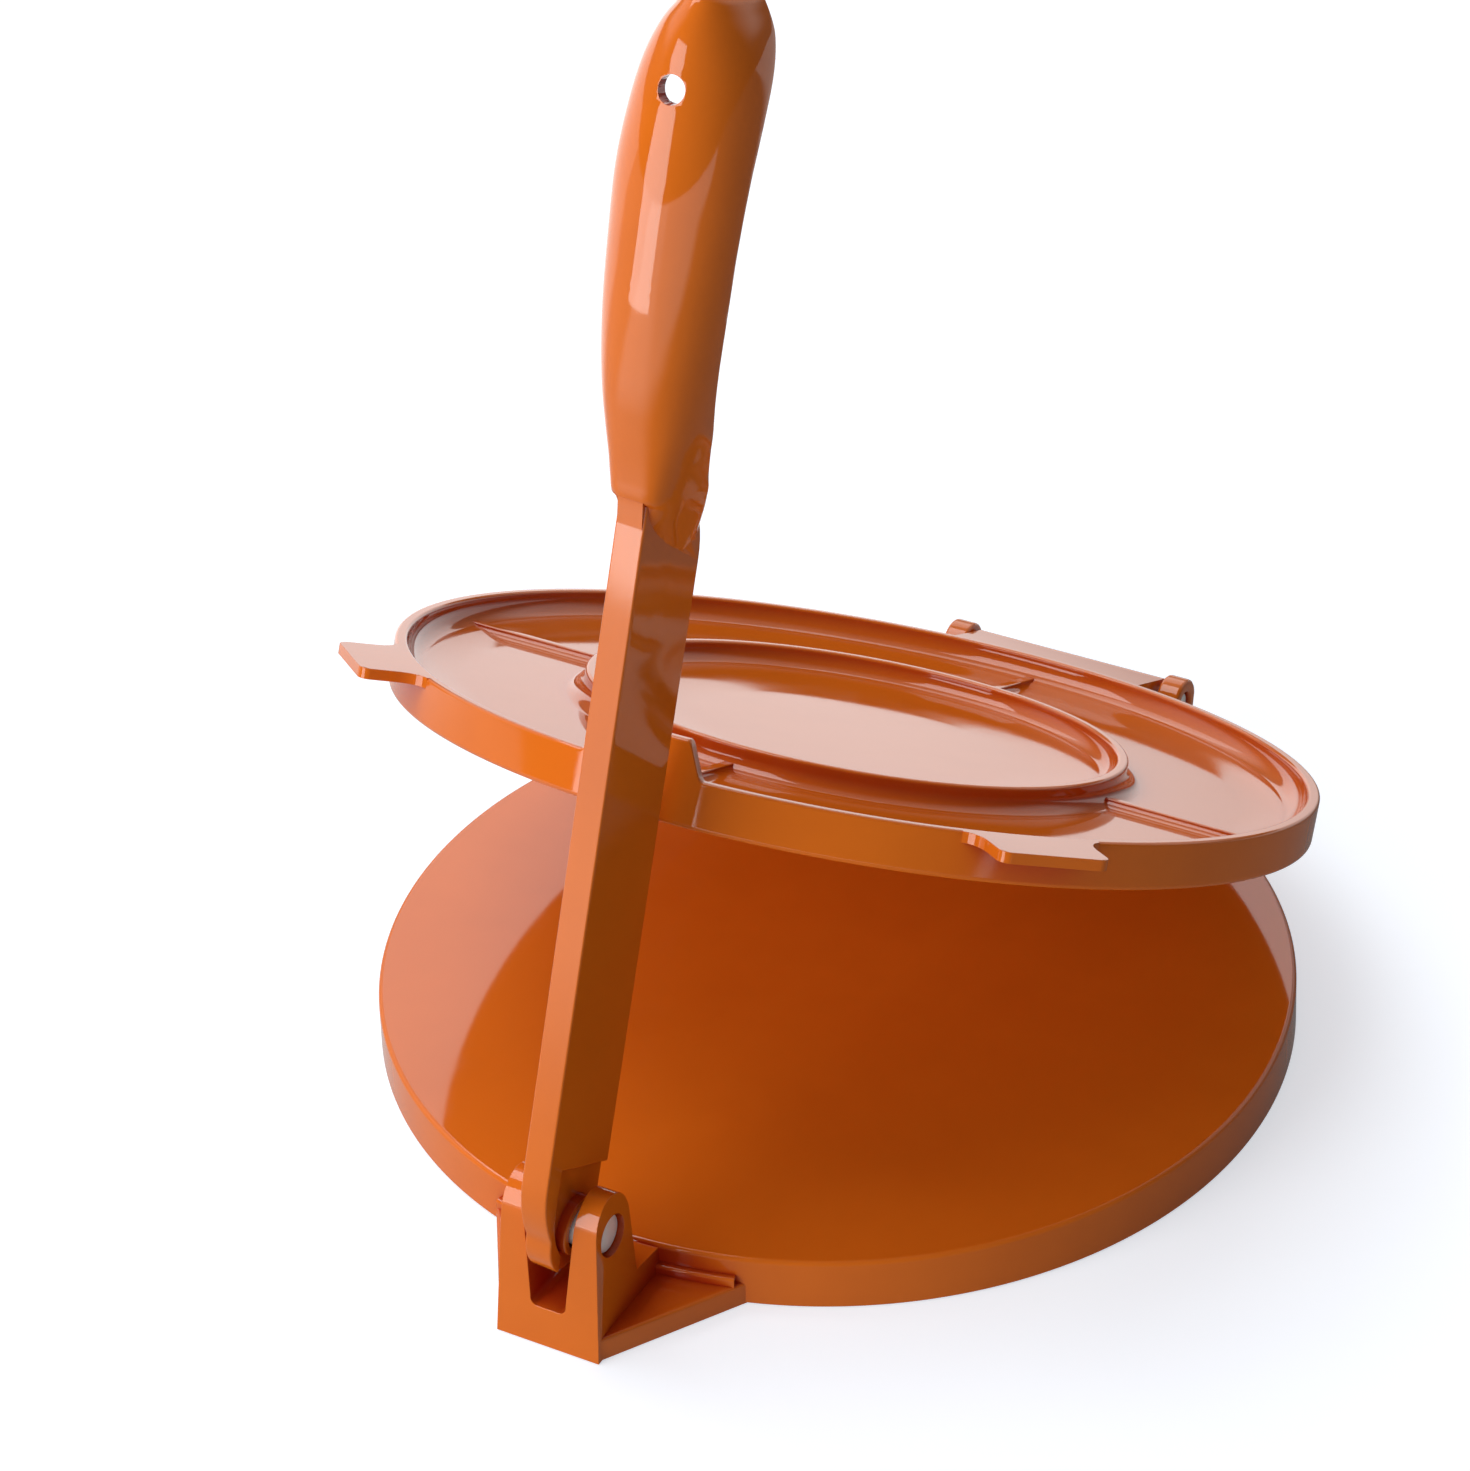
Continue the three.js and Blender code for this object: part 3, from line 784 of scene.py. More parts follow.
def hand_over(piece, name, place, material):
    """Moves a finished body to its place in metres and hands it to the body it moves with."""
    clean_up(piece, name)
    bodies = frame["record"]["behaviour"]["bodies"]
    piece.name = name.replace("_casting", "").replace("_pin", "") + "_piece"
    piece.data.name = piece.name
    piece.data.transform(Matrix.Scale(MM, 4) @ place)
    piece.data.materials.clear()
    piece.data.materials.append(material)
    piece.data.shade_smooth()
    piece.data.set_sharp_from_angle(angle=math.radians(SMOOTH_ANGLE))
    normals = piece.modifiers.new("even_normals", "WEIGHTED_NORMAL")
    normals.keep_sharp = True
    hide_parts(name)
    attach(piece, next(body for body, nodes in bodies.items() if name in nodes))


# Base casting


def foot(inner, outer):
    """The rounded underside of a wall between two radii."""
    return [
        *arc(inner + FOOT_ROUND, FOOT_ROUND, FOOT_ROUND, 180, 270, 3),
        *arc(outer - FOOT_ROUND, FOOT_ROUND, FOOT_ROUND, 270, 360, 3),
    ]


def base_disc():
    """Flat on top, cored out below to a rim, a ring and four ribs, with its edges rounded."""
    core_top = DISC_THICKNESS - DISC_FLOOR
    ring_inner = RING_RADIUS - STIFFENER_WALL
    rim_inner = DISC_RADIUS - DISC_WALL
    fillet_z = core_top - CORE_FILLET
    edge = size("soft_edge")
    disc = revolve(
        [
            (0, core_top),
            *arc(ring_inner - CORE_FILLET, fillet_z, CORE_FILLET, 90, 0),
            *foot(ring_inner, RING_RADIUS),
            *arc(RING_RADIUS + CORE_FILLET, fillet_z, CORE_FILLET, 180, 90),
            *arc(rim_inner - CORE_FILLET, fillet_z, CORE_FILLET, 90, 0),
            *foot(rim_inner, DISC_RADIUS + DISC_DRAFT),
            *arc(DISC_RADIUS - edge, DISC_THICKNESS - edge, edge, 0, 90),
            (0, DISC_THICKNESS),
        ]
    )
    half = BASE_RIB_WIDTH / 2
    outline = [
        *arc(half - FOOT_ROUND, FOOT_ROUND, FOOT_ROUND, -90, 0, 3),
        *arc(half + CORE_FILLET, fillet_z, CORE_FILLET, 180, 90),
    ]
    outline += [(-u, v) for u, v in reversed(outline)]
    outline.insert(len(outline) // 2, (0, core_top + DISC_FLOOR / 2))
    ribs = [
        turned(prism(outline, RING_RADIUS - half, rim_inner + half, "Y"), quarter * 90.0)
        for quarter in range(4)
    ]
    return join(disc, *ribs)


def hinge_ear(side):
    foot_back = HINGE_Y - EAR_RADIUS + EAR_FOOT_LENGTH
    inner_y = DISC_RADIUS - EAR_RADIUS - OVERRUN
    outline = [
        (inner_y, 0),
        (foot_back - size("soft_edge"), 0),
        (foot_back, size("soft_edge")),
        *arc(HINGE_Y, HINGE_Z, EAR_RADIUS, 0, EAR_ARC_END, 4 * ARC_STEPS),
        (DISC_RADIUS - DISC_WALL, DISC_THICKNESS - size("soft_edge")),
        (inner_y, DISC_THICKNESS - size("soft_edge")),
    ]
    near, far = sorted((side * EAR_INNER, side * (EAR_INNER + EAR_WIDTH)))
    ear = prism(outline, near, far, "X")
    bore = circle(HINGE_Y, HINGE_Z, HINGE_PIN_RADIUS + PIN_GAP)
    cut(ear, prism(bore, near - OVERRUN, far + OVERRUN, "X"))
    return soften(ear, EAR_ROUND, lambda middle: middle.z > FOOT_ROUND and middle.y > DISC_RADIUS)


def clevis():
    """A block with drafted sides and arched ears, slotted for the lever and bored for its pin."""
    arch_z = CLEVIS_TOP - ARCH_RISE
    half_depth = ARCH_DEPTH / 2
    arch_y = -CLEVIS_FRONT + CLEVIS_LEAN * arch_z + half_depth
    side = [
        (-CLEVIS_FRONT, 0),
        (DISC_WALL - DISC_RADIUS, 0),
        (DISC_WALL - DISC_RADIUS, DISC_THICKNESS - size("soft_edge")),
        (arch_y + half_depth + CLEVIS_BACK_LEAN * arch_z, DISC_THICKNESS),
        *arc(arch_y, arch_z, half_depth, ARCH_START, 180 - ARCH_START, 4 * ARC_STEPS, ARCH_RISE),
    ]
    block = prism(side, -CLEVIS_HALF, CLEVIS_HALF, "X")
    for vertex in block.data.vertices:
        vertex.co.x *= 1 - CLEVIS_DRAFT * vertex.co.z / CLEVIS_HALF
    corner = arc(SLOT_HALF - SLOT_CORNER, SLOT_FLOOR + SLOT_CORNER, SLOT_CORNER, -90, 0)
    half_slot = [
        *corner,
        (SLOT_HALF, SLOT_FLARE_START),
        (SLOT_TOP_HALF, CLEVIS_TOP - size("soft_edge")),
        (SLOT_TOP_HALF, CLEVIS_TOP + OVERRUN),
    ]
    slot = half_slot + [(-u, v) for u, v in reversed(half_slot)]
    cut(block, prism(slot, -CLEVIS_FRONT - OVERRUN, -DISC_RADIUS, "Y"))
    bore = circle(PIVOT_Y, PIVOT_Z, PIVOT_PIN_RADIUS + PIN_GAP, 7 * ARC_STEPS)
    cut(block, prism(bore, -CLEVIS_HALF - OVERRUN, CLEVIS_HALF + OVERRUN, "X"))
    return soften(
        block,
        CLEVIS_ROUND,
        lambda middle: middle.z > FOOT_ROUND and middle.y < -DISC_RADIUS,
        4,
    )


def foot_flanges():
    """A low web on both sides of the clevis, with a ledge along the disc."""
    inset = DISC_RADIUS - DISC_WALL
    web_front = CLEVIS_FRONT - CLEVIS_LEAN * FLANGE_HEIGHT
    right = [
        (CLEVIS_HALF - size("soft_edge") / 2, -web_front),
        (FLANGE_REACH, -FLANGE_BACK),
        (FLANGE_REACH - DISC_WALL, DISC_WALL - inset),
    ]
    outline = right + [(-u, v) for u, v in reversed(right)]
    web = prism(outline, 0, FLANGE_HEIGHT, "Z")
    soften(web, FLANGE_ROUND, lambda middle: middle.z > FLANGE_HEIGHT / 2)
    start, end = -90 - LEDGE_HALF_ANGLE, -90 + LEDGE_HALF_ANGLE
    outer = arc(0, 0, DISC_RADIUS + LEDGE_WIDTH, start, end, 3 * ARC_STEPS)
    inner = arc(0, 0, inset, end, start, 3 * ARC_STEPS)
    ledge = prism(outer + inner, FOOT_ROUND, LEDGE_HEIGHT, "Z")
    soften(
        ledge,
        LEDGE_ROUND,
        lambda middle: middle.z > FLANGE_HEIGHT and middle.length > DISC_RADIUS,
    )
    return web, ledge


# Top plate casting


def nose_rise(angle):
    """How far the rim's top is raised at an angle, for the nose that the lever presses."""
    offset = abs(PLATE_RADIUS * math.cos(angle)) if math.sin(angle) < 0 else PLATE_RADIUS
    rise = NOSE_HEIGHT - RIM_HEIGHT
    flank = rise * (NOSE_ROOT_HALF - offset) / (NOSE_ROOT_HALF - NOSE_TOP_HALF)
    near_top = max(NOSE_BLEND - abs(rise - flank), 0) / NOSE_BLEND
    capped = min(rise, flank) - near_top**2 * NOSE_BLEND / 4
    near_root = max(NOSE_BLEND - abs(capped), 0) / NOSE_BLEND
    return max(capped, 0.0) + near_root**2 * NOSE_BLEND / 4


def dished(outer, width):
    """The edge of a floor, from the foot of the wall round it in to the flat middle."""
    return curve(
        (outer, PLATE_FLOOR + DISH_RISE),
        (outer - width / 2, PLATE_FLOOR),
        (outer - width, PLATE_FLOOR),
    )


def plate_dish():
    """The plate with its rim, its ring and its nose, all turned in one profile."""
    edge = size("soft_edge")
    inner = PLATE_RADIUS - RIM_WALL
    ring_inner = RING_RADIUS - RING_WALL
    lip = size("rim_lip")
    rim_fillet, ring_fillet = size("rim_fillet"), size("ring_fillet")
    rim_foot, ring_foot = inner - rim_fillet, ring_inner - ring_fillet
    dish_z = PLATE_FLOOR + DISH_RISE
    steps = 2 * ARC_STEPS
    profile = [
        (0, 0),
        *arc(PLATE_RADIUS - edge, edge, edge, -90, 0),
        *[
            (u, v, 1.0)
            for u, v in arc(PLATE_RADIUS - lip, RIM_HEIGHT - lip, lip, 0, 90)
            + arc(inner + lip, RIM_HEIGHT - lip, lip, 90, 180)
        ],
        *arc(rim_foot, dish_z + rim_fillet, rim_fillet, 0, -90, steps),
        *dished(rim_foot, RIM_DISH),
        *arc(RING_RADIUS + ring_fillet, PLATE_FLOOR + ring_fillet, ring_fillet, -90, -180, steps),
        *arc(RING_RADIUS - lip, RING_HEIGHT - lip, lip, 0, 90),
        *arc(ring_inner + lip, RING_HEIGHT - lip, lip, 90, 180),
        *arc(ring_foot, dish_z + ring_fillet, ring_fillet, 0, -90, steps),
        *dished(ring_foot, RING_DISH),
        (0, PLATE_FLOOR),
    ]
    angles = even_angles(TURN_STEPS)
    low, high = NOSE_TOP_HALF - NOSE_BLEND, NOSE_ROOT_HALF + NOSE_BLEND
    for step in range(FLANK_STEPS + 1):
        offset = (low + (high - low) * step / FLANK_STEPS) / PLATE_RADIUS
        angles += [1.5 * math.pi - math.asin(offset), 1.5 * math.pi + math.asin(offset)]
    return revolve(profile, sorted(angles), nose_rise)


def plate_rib(angle):
    """A low rib from the ring to the rim, flared at its foot."""
    height = RIB_HEIGHT - PLATE_FLOOR
    half = RIB_WIDTH / 2
    reach = size("rib_flare")
    side = [
        (-half - reach, PLATE_FLOOR - RIB_SINK),
        (half + reach, PLATE_FLOOR - RIB_SINK),
        (half + reach, PLATE_FLOOR),
        *curve(
            (half + reach, PLATE_FLOOR),
            (half + reach / 4, PLATE_FLOOR),
            (half, PLATE_FLOOR + height - RIB_ROUND),
        ),
        *arc(half - RIB_ROUND, RIB_HEIGHT - RIB_ROUND, RIB_ROUND, 20, 90, 4),
    ]
    left = [(-u, v) for u, v in reversed(side[3:])]
    outline = side + left + [(-half - reach, PLATE_FLOOR)]
    start = RING_RADIUS - RING_WALL / 2
    end = PLATE_RADIUS - RIM_WALL / 2
    return turned(prism(outline, start, end, "Y"), angle)


def lift_tab(side):
    """A thin ear level with the top of the rim, flared where it leaves the wall."""
    half = TAB_WIDTH / 2
    flare_root = math.sqrt(PLATE_RADIUS**2 - (half + TAB_FLARE) ** 2)
    outer = math.sqrt(PLATE_RADIUS**2 - half**2) + TAB_REACH
    corner = outer - TAB_CORNER
    root = PLATE_RADIUS - TAB_ROOT_SHARE * RIM_WALL
    spread = math.asin((half + TAB_FLARE) / root)
    back = []
    for step in range(2 * TAB_STEPS + 1):
        angle = spread * (1 - step / TAB_STEPS)
        back.append((root * math.cos(angle), root * math.sin(angle)))
    upper = [
        *curve(
            (flare_root, half + TAB_FLARE),
            (flare_root + TAB_FLARE / 2, half),
            (flare_root + 2 * TAB_FLARE, half),
        ),
        *reversed(arc(corner, half - TAB_CORNER, TAB_CORNER, 0, 90)),
    ]
    lower = [(u, -v) for u, v in reversed(upper)]
    outline = [(flare_root, half + TAB_FLARE), *upper, *lower, (flare_root, -half - TAB_FLARE)]
    outline += list(reversed(back))
    tab = prism(outline, RIM_HEIGHT - TAB_THICKNESS, RIM_HEIGHT, "Z")
    wall = PLATE_RADIUS + EDGE_MARGIN / 2
    soften(tab, TAB_ROUND, lambda middle: math.hypot(middle.x, middle.y) > wall)
    return turned(tab, -TAB_ANGLE if side > 0 else TAB_ANGLE - 180)


def hinge_tongue():
    """The tongue with the hinge knuckle, between the two ears of the base."""
    half = EAR_INNER - KNUCKLE_GAP
    axis_z = HINGE_Z - DISC_THICKNESS - PLATE_GAP
    root_y = math.sqrt(PLATE_RADIUS**2 - half**2) - RIM_WALL / 2
    start, end = -90 - TONGUE_UNDER_ANGLE, KNUCKLE_ARC_END
    outline = [
        (root_y, TONGUE_RISE),
        (PLATE_RADIUS - RIM_WALL / 2, TONGUE_RISE),
        *arc(HINGE_Y, axis_z, KNUCKLE_RADIUS, start, end, 4 * ARC_STEPS),
        (root_y, RIM_HEIGHT - size("soft_edge")),
    ]
    tongue = prism(outline, -half, half, "X")
    bore = circle(HINGE_Y, axis_z, HINGE_PIN_RADIUS + PIN_GAP)
    cut(tongue, prism(bore, -half - OVERRUN, half + OVERRUN, "X"))
    soften(tongue, TONGUE_ROUND, lambda middle: middle.y > PLATE_RADIUS)
    inner = PLATE_RADIUS - RIM_WALL / 2
    inside = revolve([(0, -OVERRUN), (inner, -OVERRUN), (inner, 2 * RIM_HEIGHT), (0, 2 * RIM_HEIGHT)])
    return cut(tongue, inside)


# Lever casting, in its own frame: the pivot is the origin and the bar runs up +Z

GRIP_PLACE_SHARES = (
    -0.144, -0.119, -0.077, -0.036, -0.001, 0.005, 0.046, 0.088, 0.139, 0.211, 0.294, 0.397,
    0.521, 0.655, 0.778, 0.861, 0.923, 0.964, 0.99, 1,
)
GRIP_FRONT_SHARES = (
    0.04, 0.24, 0.44, 0.56, 0.61, 0.66, 0.697, 0.739, 0.795, 0.875, 0.936, 0.981,
    0.998, 1, 0.968, 0.92, 0.865, 0.776, 0.7, 0.6,
)
GRIP_RIM_SHARES = (
    0.19, 0.19, 0.18, 0.16, 0.12, 0.11, -0.06, -0.21, -0.4, -0.63, -0.8, -0.91,
    -1, -0.985, -0.8, -0.61, -0.45, -0.38, -0.41, -0.49,
)
GRIP_WIDTH_SHARES = (
    0.2, 0.275, 0.36, 0.44, 0.5, 0.51, 0.565, 0.625, 0.71, 0.79, 0.858, 0.917,
    0.966, 1, 0.98, 0.912, 0.763, 0.571, 0.406, 0.17,
)
GRIP_BOXY_SHARES = (
    0, 0.05, 0.2, 0.5, 0.85, 0.9, 0.8, 0.6, 0.4, 0.25, 0.15, 0.08, 0, 0, 0, 0, 0, 0, 0, 0,
)
GRIP_BACK_SHARES = (
    0.5, 0.54, 0.5, 0.39, 0.2, 0.18, 0.1, 0.04, 0.01, 0, 0, 0, 0, 0, 0, 0, 0, 0, 0, 0,
)
GRIP_SECTIONS = 96
GRIP_ARC_STEPS = 40
LIP_STEPS = 6
LIP_RISE = 0.8

# Rings that close the grip's tip: their share of its last section and how much further they lie
TIP_RINGS = ((0.8, 0.25), (0.45, 0.45))


def read_shares(table, share):
    """A smooth reading of a table of shares at a share of the grip's length."""
    last = len(GRIP_PLACE_SHARES) - 1
    k = 0
    while k < last - 1 and share > GRIP_PLACE_SHARES[k + 1]:
        k += 1
    span = GRIP_PLACE_SHARES[k + 1] - GRIP_PLACE_SHARES[k]
    t = (share - GRIP_PLACE_SHARES[k]) / span

    def slope(i):
        a, b = max(i - 1, 0), min(i + 1, last)
        return (table[b] - table[a]) / (GRIP_PLACE_SHARES[b] - GRIP_PLACE_SHARES[a])

    rise = 3 * t**2 - 2 * t**3
    bend = (t**3 - 2 * t**2 + t) * slope(k) + (t**3 - t**2) * slope(k + 1)
    return table[k] * (1 - rise) + table[k + 1] * rise + span * bend


def smooth_step(low, high, value):
    t = min(max((value - low) / (high - low), 0.0), 1.0)
    return t * t * (3 - 2 * t)


def grip_section(share, shrink=1.0, further=0.0):
    """One ring round the grip: an arch over its front, then its lips and its hollow back."""
    place = BAR_LENGTH + GRIP_LENGTH * share + further
    front = -GRIP_FRONT * read_shares(GRIP_FRONT_SHARES, share)
    rim = GRIP_RIM_FRONT * read_shares(GRIP_RIM_SHARES, share)
    half = GRIP_HALF * read_shares(GRIP_WIDTH_SHARES, share)
    power = 1 / (1 + read_shares(GRIP_BOXY_SHARES, share))
    behind = GRIP_HALF * max(read_shares(GRIP_BACK_SHARES, share), 0.0)
    from_start = GRIP_LENGTH * share - HOLLOW_START
    from_tip = GRIP_LENGTH * (1 - share) - GRIP_WALL
    hollow = smooth_step(0, HOLLOW_RUN, from_start) * smooth_step(0, 2 * GRIP_WALL, from_tip)
    inner_half = max(half - GRIP_WALL, half / 4)
    depth = rim - front
    inner_depth = max(depth - GRIP_WALL, 0.0) * hollow

    def on_arch(angle, across, reach, arch_power):
        x = math.copysign(abs(math.cos(angle)) ** arch_power, math.cos(angle))
        return across * x, rim - reach * abs(math.sin(angle)) ** arch_power

    steps = range(GRIP_ARC_STEPS + 1)
    ring = [on_arch(math.pi * k / GRIP_ARC_STEPS, half, depth, power) for k in steps]
    lip_middle, lip_half = (half + inner_half) / 2, (half - inner_half) / 2
    lip = []
    for k in range(1, LIP_STEPS):
        angle = math.pi * k / LIP_STEPS
        lip.append((lip_half * math.cos(angle), LIP_RISE * lip_half * math.sin(angle)))
    back = [(-lip_middle - u, rim + v * hollow) for u, v in lip]
    back += [
        on_arch(math.pi * (1 - k / GRIP_ARC_STEPS), inner_half, inner_depth, power)
        for k in steps
    ]
    back += [(lip_middle - u, rim + v * hollow) for u, v in lip]
    bulged = [(x, y + behind * math.sqrt(max(1 - (x / half) ** 2, 0.0))) for x, y in back]
    centre = (front + rim) / 2
    return [(x * shrink, centre + (y - centre) * shrink, place) for x, y in ring + bulged]


def grip():
    first = GRIP_PLACE_SHARES[0]
    shares = [first + (1 - first) * k / GRIP_SECTIONS for k in range(GRIP_SECTIONS + 1)]
    rings = [grip_section(share) for share in shares]
    rings += [grip_section(1.0, shrink, further) for shrink, further in TIP_RINGS]
    return loft(rings)


def lever_bar():
    back_angle = math.degrees(math.acos(BAR_BACK / HEEL_RADIUS))
    rim_at_step = GRIP_RIM_FRONT * read_shares(GRIP_RIM_SHARES, 0)
    curve_start = BAR_LENGTH - BACK_CURVE_LENGTH
    outline = [
        (BAR_BACK, curve_start),
        *curve(
            (BAR_BACK, curve_start),
            (BAR_BACK, BAR_LENGTH - BACK_CURVE_LENGTH / 2),
            (rim_at_step, BAR_LENGTH),
        ),
        (-BAR_FRONT, BAR_LENGTH),
        (-BAR_FRONT, HEEL_BLEND),
        *curve((-BAR_FRONT, HEEL_BLEND), (-BAR_FRONT, HEEL_BLEND / 2), (-HEEL_RADIUS, 0)),
        *arc(0, 0, HEEL_RADIUS, 180, 360 + back_angle, 4 * ARC_STEPS)[1:],
    ]
    bar = prism(outline, -1.0, 1.0, "X")
    for vertex in bar.data.vertices:
        share = min(max(vertex.co.z / BAR_LENGTH, 0.0), 1.0)
        vertex.co.x *= BAR_FOOT_HALF + (BAR_TOP_HALF - BAR_FOOT_HALF) * share
    inner = HEEL_RADIUS - POCKET_STRIP
    wide = HEEL_RADIUS + OVERRUN
    front = POCKET_STRIP - BAR_FRONT
    pocket = [
        (front, POCKET_FRONT_TOP),
        (front, HEEL_BLEND / 2),
        *curve((front, HEEL_BLEND / 2), (front, 0), (-inner, -inner)),
        (-inner, -wide),
        (wide, -wide),
        (wide, POCKET_BACK_TOP),
    ]
    thin = BAR_FOOT_HALF - POCKET_DEPTH
    cut(bar, prism(pocket, thin, wide, "X"), prism(pocket, -wide, -thin, "X"))
    return soften(bar, size("bar_round"), lambda middle: middle.z < BAR_LENGTH - EDGE_MARGIN)


def run_out_web():
    """The bar runs on into the hollow as a web whose back edge slopes down to the shell."""
    top = BAR_LENGTH + WEB_RUN_OUT
    end_share = (WEB_RUN_OUT + GRIP_WALL / 2) / GRIP_LENGTH
    rim_at_end = GRIP_RIM_FRONT * read_shares(GRIP_RIM_SHARES, HOLLOW_START / GRIP_LENGTH)
    outline = [
        (rim_at_end - WEB_INSET, BAR_LENGTH - HOLLOW_START),
        (rim_at_end - WEB_INSET, BAR_LENGTH + HOLLOW_START),
        (-GRIP_RIM_FRONT - GRIP_WALL, top),
        (GRIP_WALL / 2 - GRIP_FRONT * read_shares(GRIP_FRONT_SHARES, end_share), top),
        (-BAR_FRONT, BAR_LENGTH - HOLLOW_START),
    ]
    web = prism(outline, WEB_INSET - BAR_TOP_HALF, BAR_TOP_HALF - WEB_INSET, "X")
    return soften(web, WEB_ROUND, lambda middle: middle.y > -BAR_FRONT - 1 and middle.z > BAR_LENGTH)


def lever_body():
    boss = prism(circle(0, 0, BOSS_RADIUS, 6 * ARC_STEPS), -BOSS_HALF, BOSS_HALF, "X")
    soften(boss, BOSS_ROUND)
    bore = prism(circle(0, 0, LEVER_BORE, 6 * ARC_STEPS), -OVERRUN * 2, OVERRUN * 2, "X")
    hole_z = BAR_LENGTH + GRIP_LENGTH - HOLE_INSET
    hole = prism(circle(0, hole_z, HOLE_RADIUS), -2 * GRIP_FRONT, 0, "Y")
    lever = join(lever_bar(), boss, run_out_web(), grip())
    cut(lever, bore, hole)
    reach = HOLE_RADIUS + EDGE_MARGIN
    return soften(lever, HOLE_ROUND, lambda m: math.hypot(m.x, m.z - hole_z) < reach, 2)


def steel_pin(radius, half, dome, y, z):
    """A cropped pin with a rounded shoulder and a faintly domed end."""
    flat = radius - PIN_SHOULDER
    crown = [(flat * k / 8, half - dome * (k / 8) ** 2) for k in range(8)]
    shoulder = [(flat, half - dome)]
    for k in range(1, 6):
        angle = math.pi / 2 * k / 5
        drop = PIN_SHOULDER * (1 - math.cos(angle))
        shoulder.append((flat + PIN_SHOULDER * math.sin(angle), half - dome - drop))
    upper = crown + shoulder
    lower = [(across, -up) for across, up in reversed(upper)]
    pin = revolve(upper + lower, even_angles(PIN_STEPS))
    pin.data.transform(Matrix.Translation((0, y, z)) @ Matrix.Rotation(math.pi / 2, 4, "Y"))
    return pin


def finish_called(name, maker):
    """The material of a name, made once."""
    return bpy.data.materials.get(name) or maker()


class PRESS_OT_base(bpy.types.Operator):
    """Build the base casting with its clevis, flanges and hinge ears"""

    bl_idname = "press.base"
    bl_label = "Base casting"

    def execute(self, context):
        base = join(base_disc(), clevis(), *foot_flanges(), hinge_ear(-1), hinge_ear(1))
        enamel = finish_called("gloss_enamel", orange_enamel)
        hand_over(base, "base_casting", Matrix.Identity(4), enamel)
        return {"FINISHED"}


class PRESS_OT_top_plate(bpy.types.Operator):
    """Build the top plate casting with its ring, ribs, nose, tabs and hinge tongue"""

    bl_idname = "press.top_plate"
    bl_label = "Top plate casting"

    def execute(self, context):
        ribs = [plate_rib(quarter * 90.0) for quarter in range(4)]
        plate = join(plate_dish(), *ribs, lift_tab(-1), lift_tab(1), hinge_tongue())
        hinge = Vector((0.0, HINGE_Y, HINGE_Z))
        lifted = Matrix.Translation((0.0, 0.0, DISC_THICKNESS + PLATE_GAP))
        turn = Matrix.Rotation(math.radians(-PLATE_OPENING), 4, "X")
        place = Matrix.Translation(hinge) @ turn @ Matrix.Translation(-hinge) @ lifted
        hand_over(plate, "top_plate_casting", place, finish_called("gloss_enamel", orange_enamel))
        return {"FINISHED"}


class PRESS_OT_lever(bpy.types.Operator):
    """Build the lever casting with its bar, foot and hollow grip"""

    bl_idname = "press.lever"
    bl_label = "Lever casting"

    def execute(self, context):
        lean = Matrix.Rotation(math.radians(-LEVER_LEAN), 4, "X")
        sideways = Matrix.Rotation(math.radians(LEVER_SIDE_LEAN), 4, "Y")
        place = Matrix.Translation((0.0, PIVOT_Y, PIVOT_Z)) @ lean @ sideways
        enamel = finish_called("gloss_enamel", orange_enamel)
        hand_over(lever_body(), "lever_casting", place, enamel)
        return {"FINISHED"}


class PRESS_OT_pins(bpy.types.Operator):
    """Build the two steel pins"""

    bl_idname = "press.pins"
    bl_label = "Pins"

    def execute(self, context):
        steel = finish_called("cropped_steel", pin_steel)
        pivot_half = CLEVIS_HALF - CLEVIS_DRAFT * PIVOT_Z - PIVOT_PIN_RECESS
        pivot = steel_pin(PIVOT_PIN_RADIUS, pivot_half, PIVOT_PIN_DOME, PIVOT_Y, PIVOT_Z)
        hand_over(pivot, "lever_pivot_pin", Matrix.Identity(4), steel)
        hinge_half = EAR_INNER + EAR_WIDTH - HINGE_PIN_RECESS
        hinge = steel_pin(HINGE_PIN_RADIUS, hinge_half, HINGE_PIN_DOME, HINGE_Y, HINGE_Z)
        hand_over(hinge, "hinge_pin", Matrix.Identity(4), steel)
        return {"FINISHED"}


# Stage, in metres: each lamp's place, width and height
LAMPS = {
    "key": ((-0.54, -1.19, 0.42), 0.75, 1.0),
    "top": ((-0.98, 0.05, 2.2), 1.4, 1.4),
    "back": ((-0.6, 1.05, 0.85), 1.0, 0.8),
}
SENSOR_WIDTH = 36.0
NEAR_CLIP = 0.05
FAR_CLIP = 50.0
FLOOR_HALF = 12.0
FLOOR_DROP = 0.2 * MM
GRAIN_COLOUR = (0.59, 0.62, 0.66)
GLOW_COLOUR = (0.92, 0.95, 1.0)
WHITE = (1.0, 1.0, 1.0, 1.0)

# Where the floor's glow starts and ends; the far one is in square metres
BRIGHT_HEADING = (-0.41, -0.91)
BRIGHT_AHEAD = (0.3, 0.6)
BRIGHT_ASIDE = (-0.26, -0.1)
LEFT_TO_RIGHT = (-0.15, 0.1)
BACK_EDGE = (0.12, 0.28)
FAR_EDGE = (0.5, 6.0)

# Where the room changes, as shares of a direction, and how bright it stays there
AWAY_EDGE = (-0.15, 0.35)
HIGH_EDGE = (0.45, 0.95)
HIGH_SHARE = 0.5
LOW_EDGE = (0.1, 0.3)
LOW_SHARE = 0.1
ROOM_HEADING = (0.6, 0.8)
ROOM_EDGE = (-0.7, 0.7)


def look_at(obj, target):
    direction = Vector(target) - obj.location
    obj.rotation_mode = "QUATERNION"
    obj.rotation_quaternion = direction.to_track_quat("-Z", "Y")


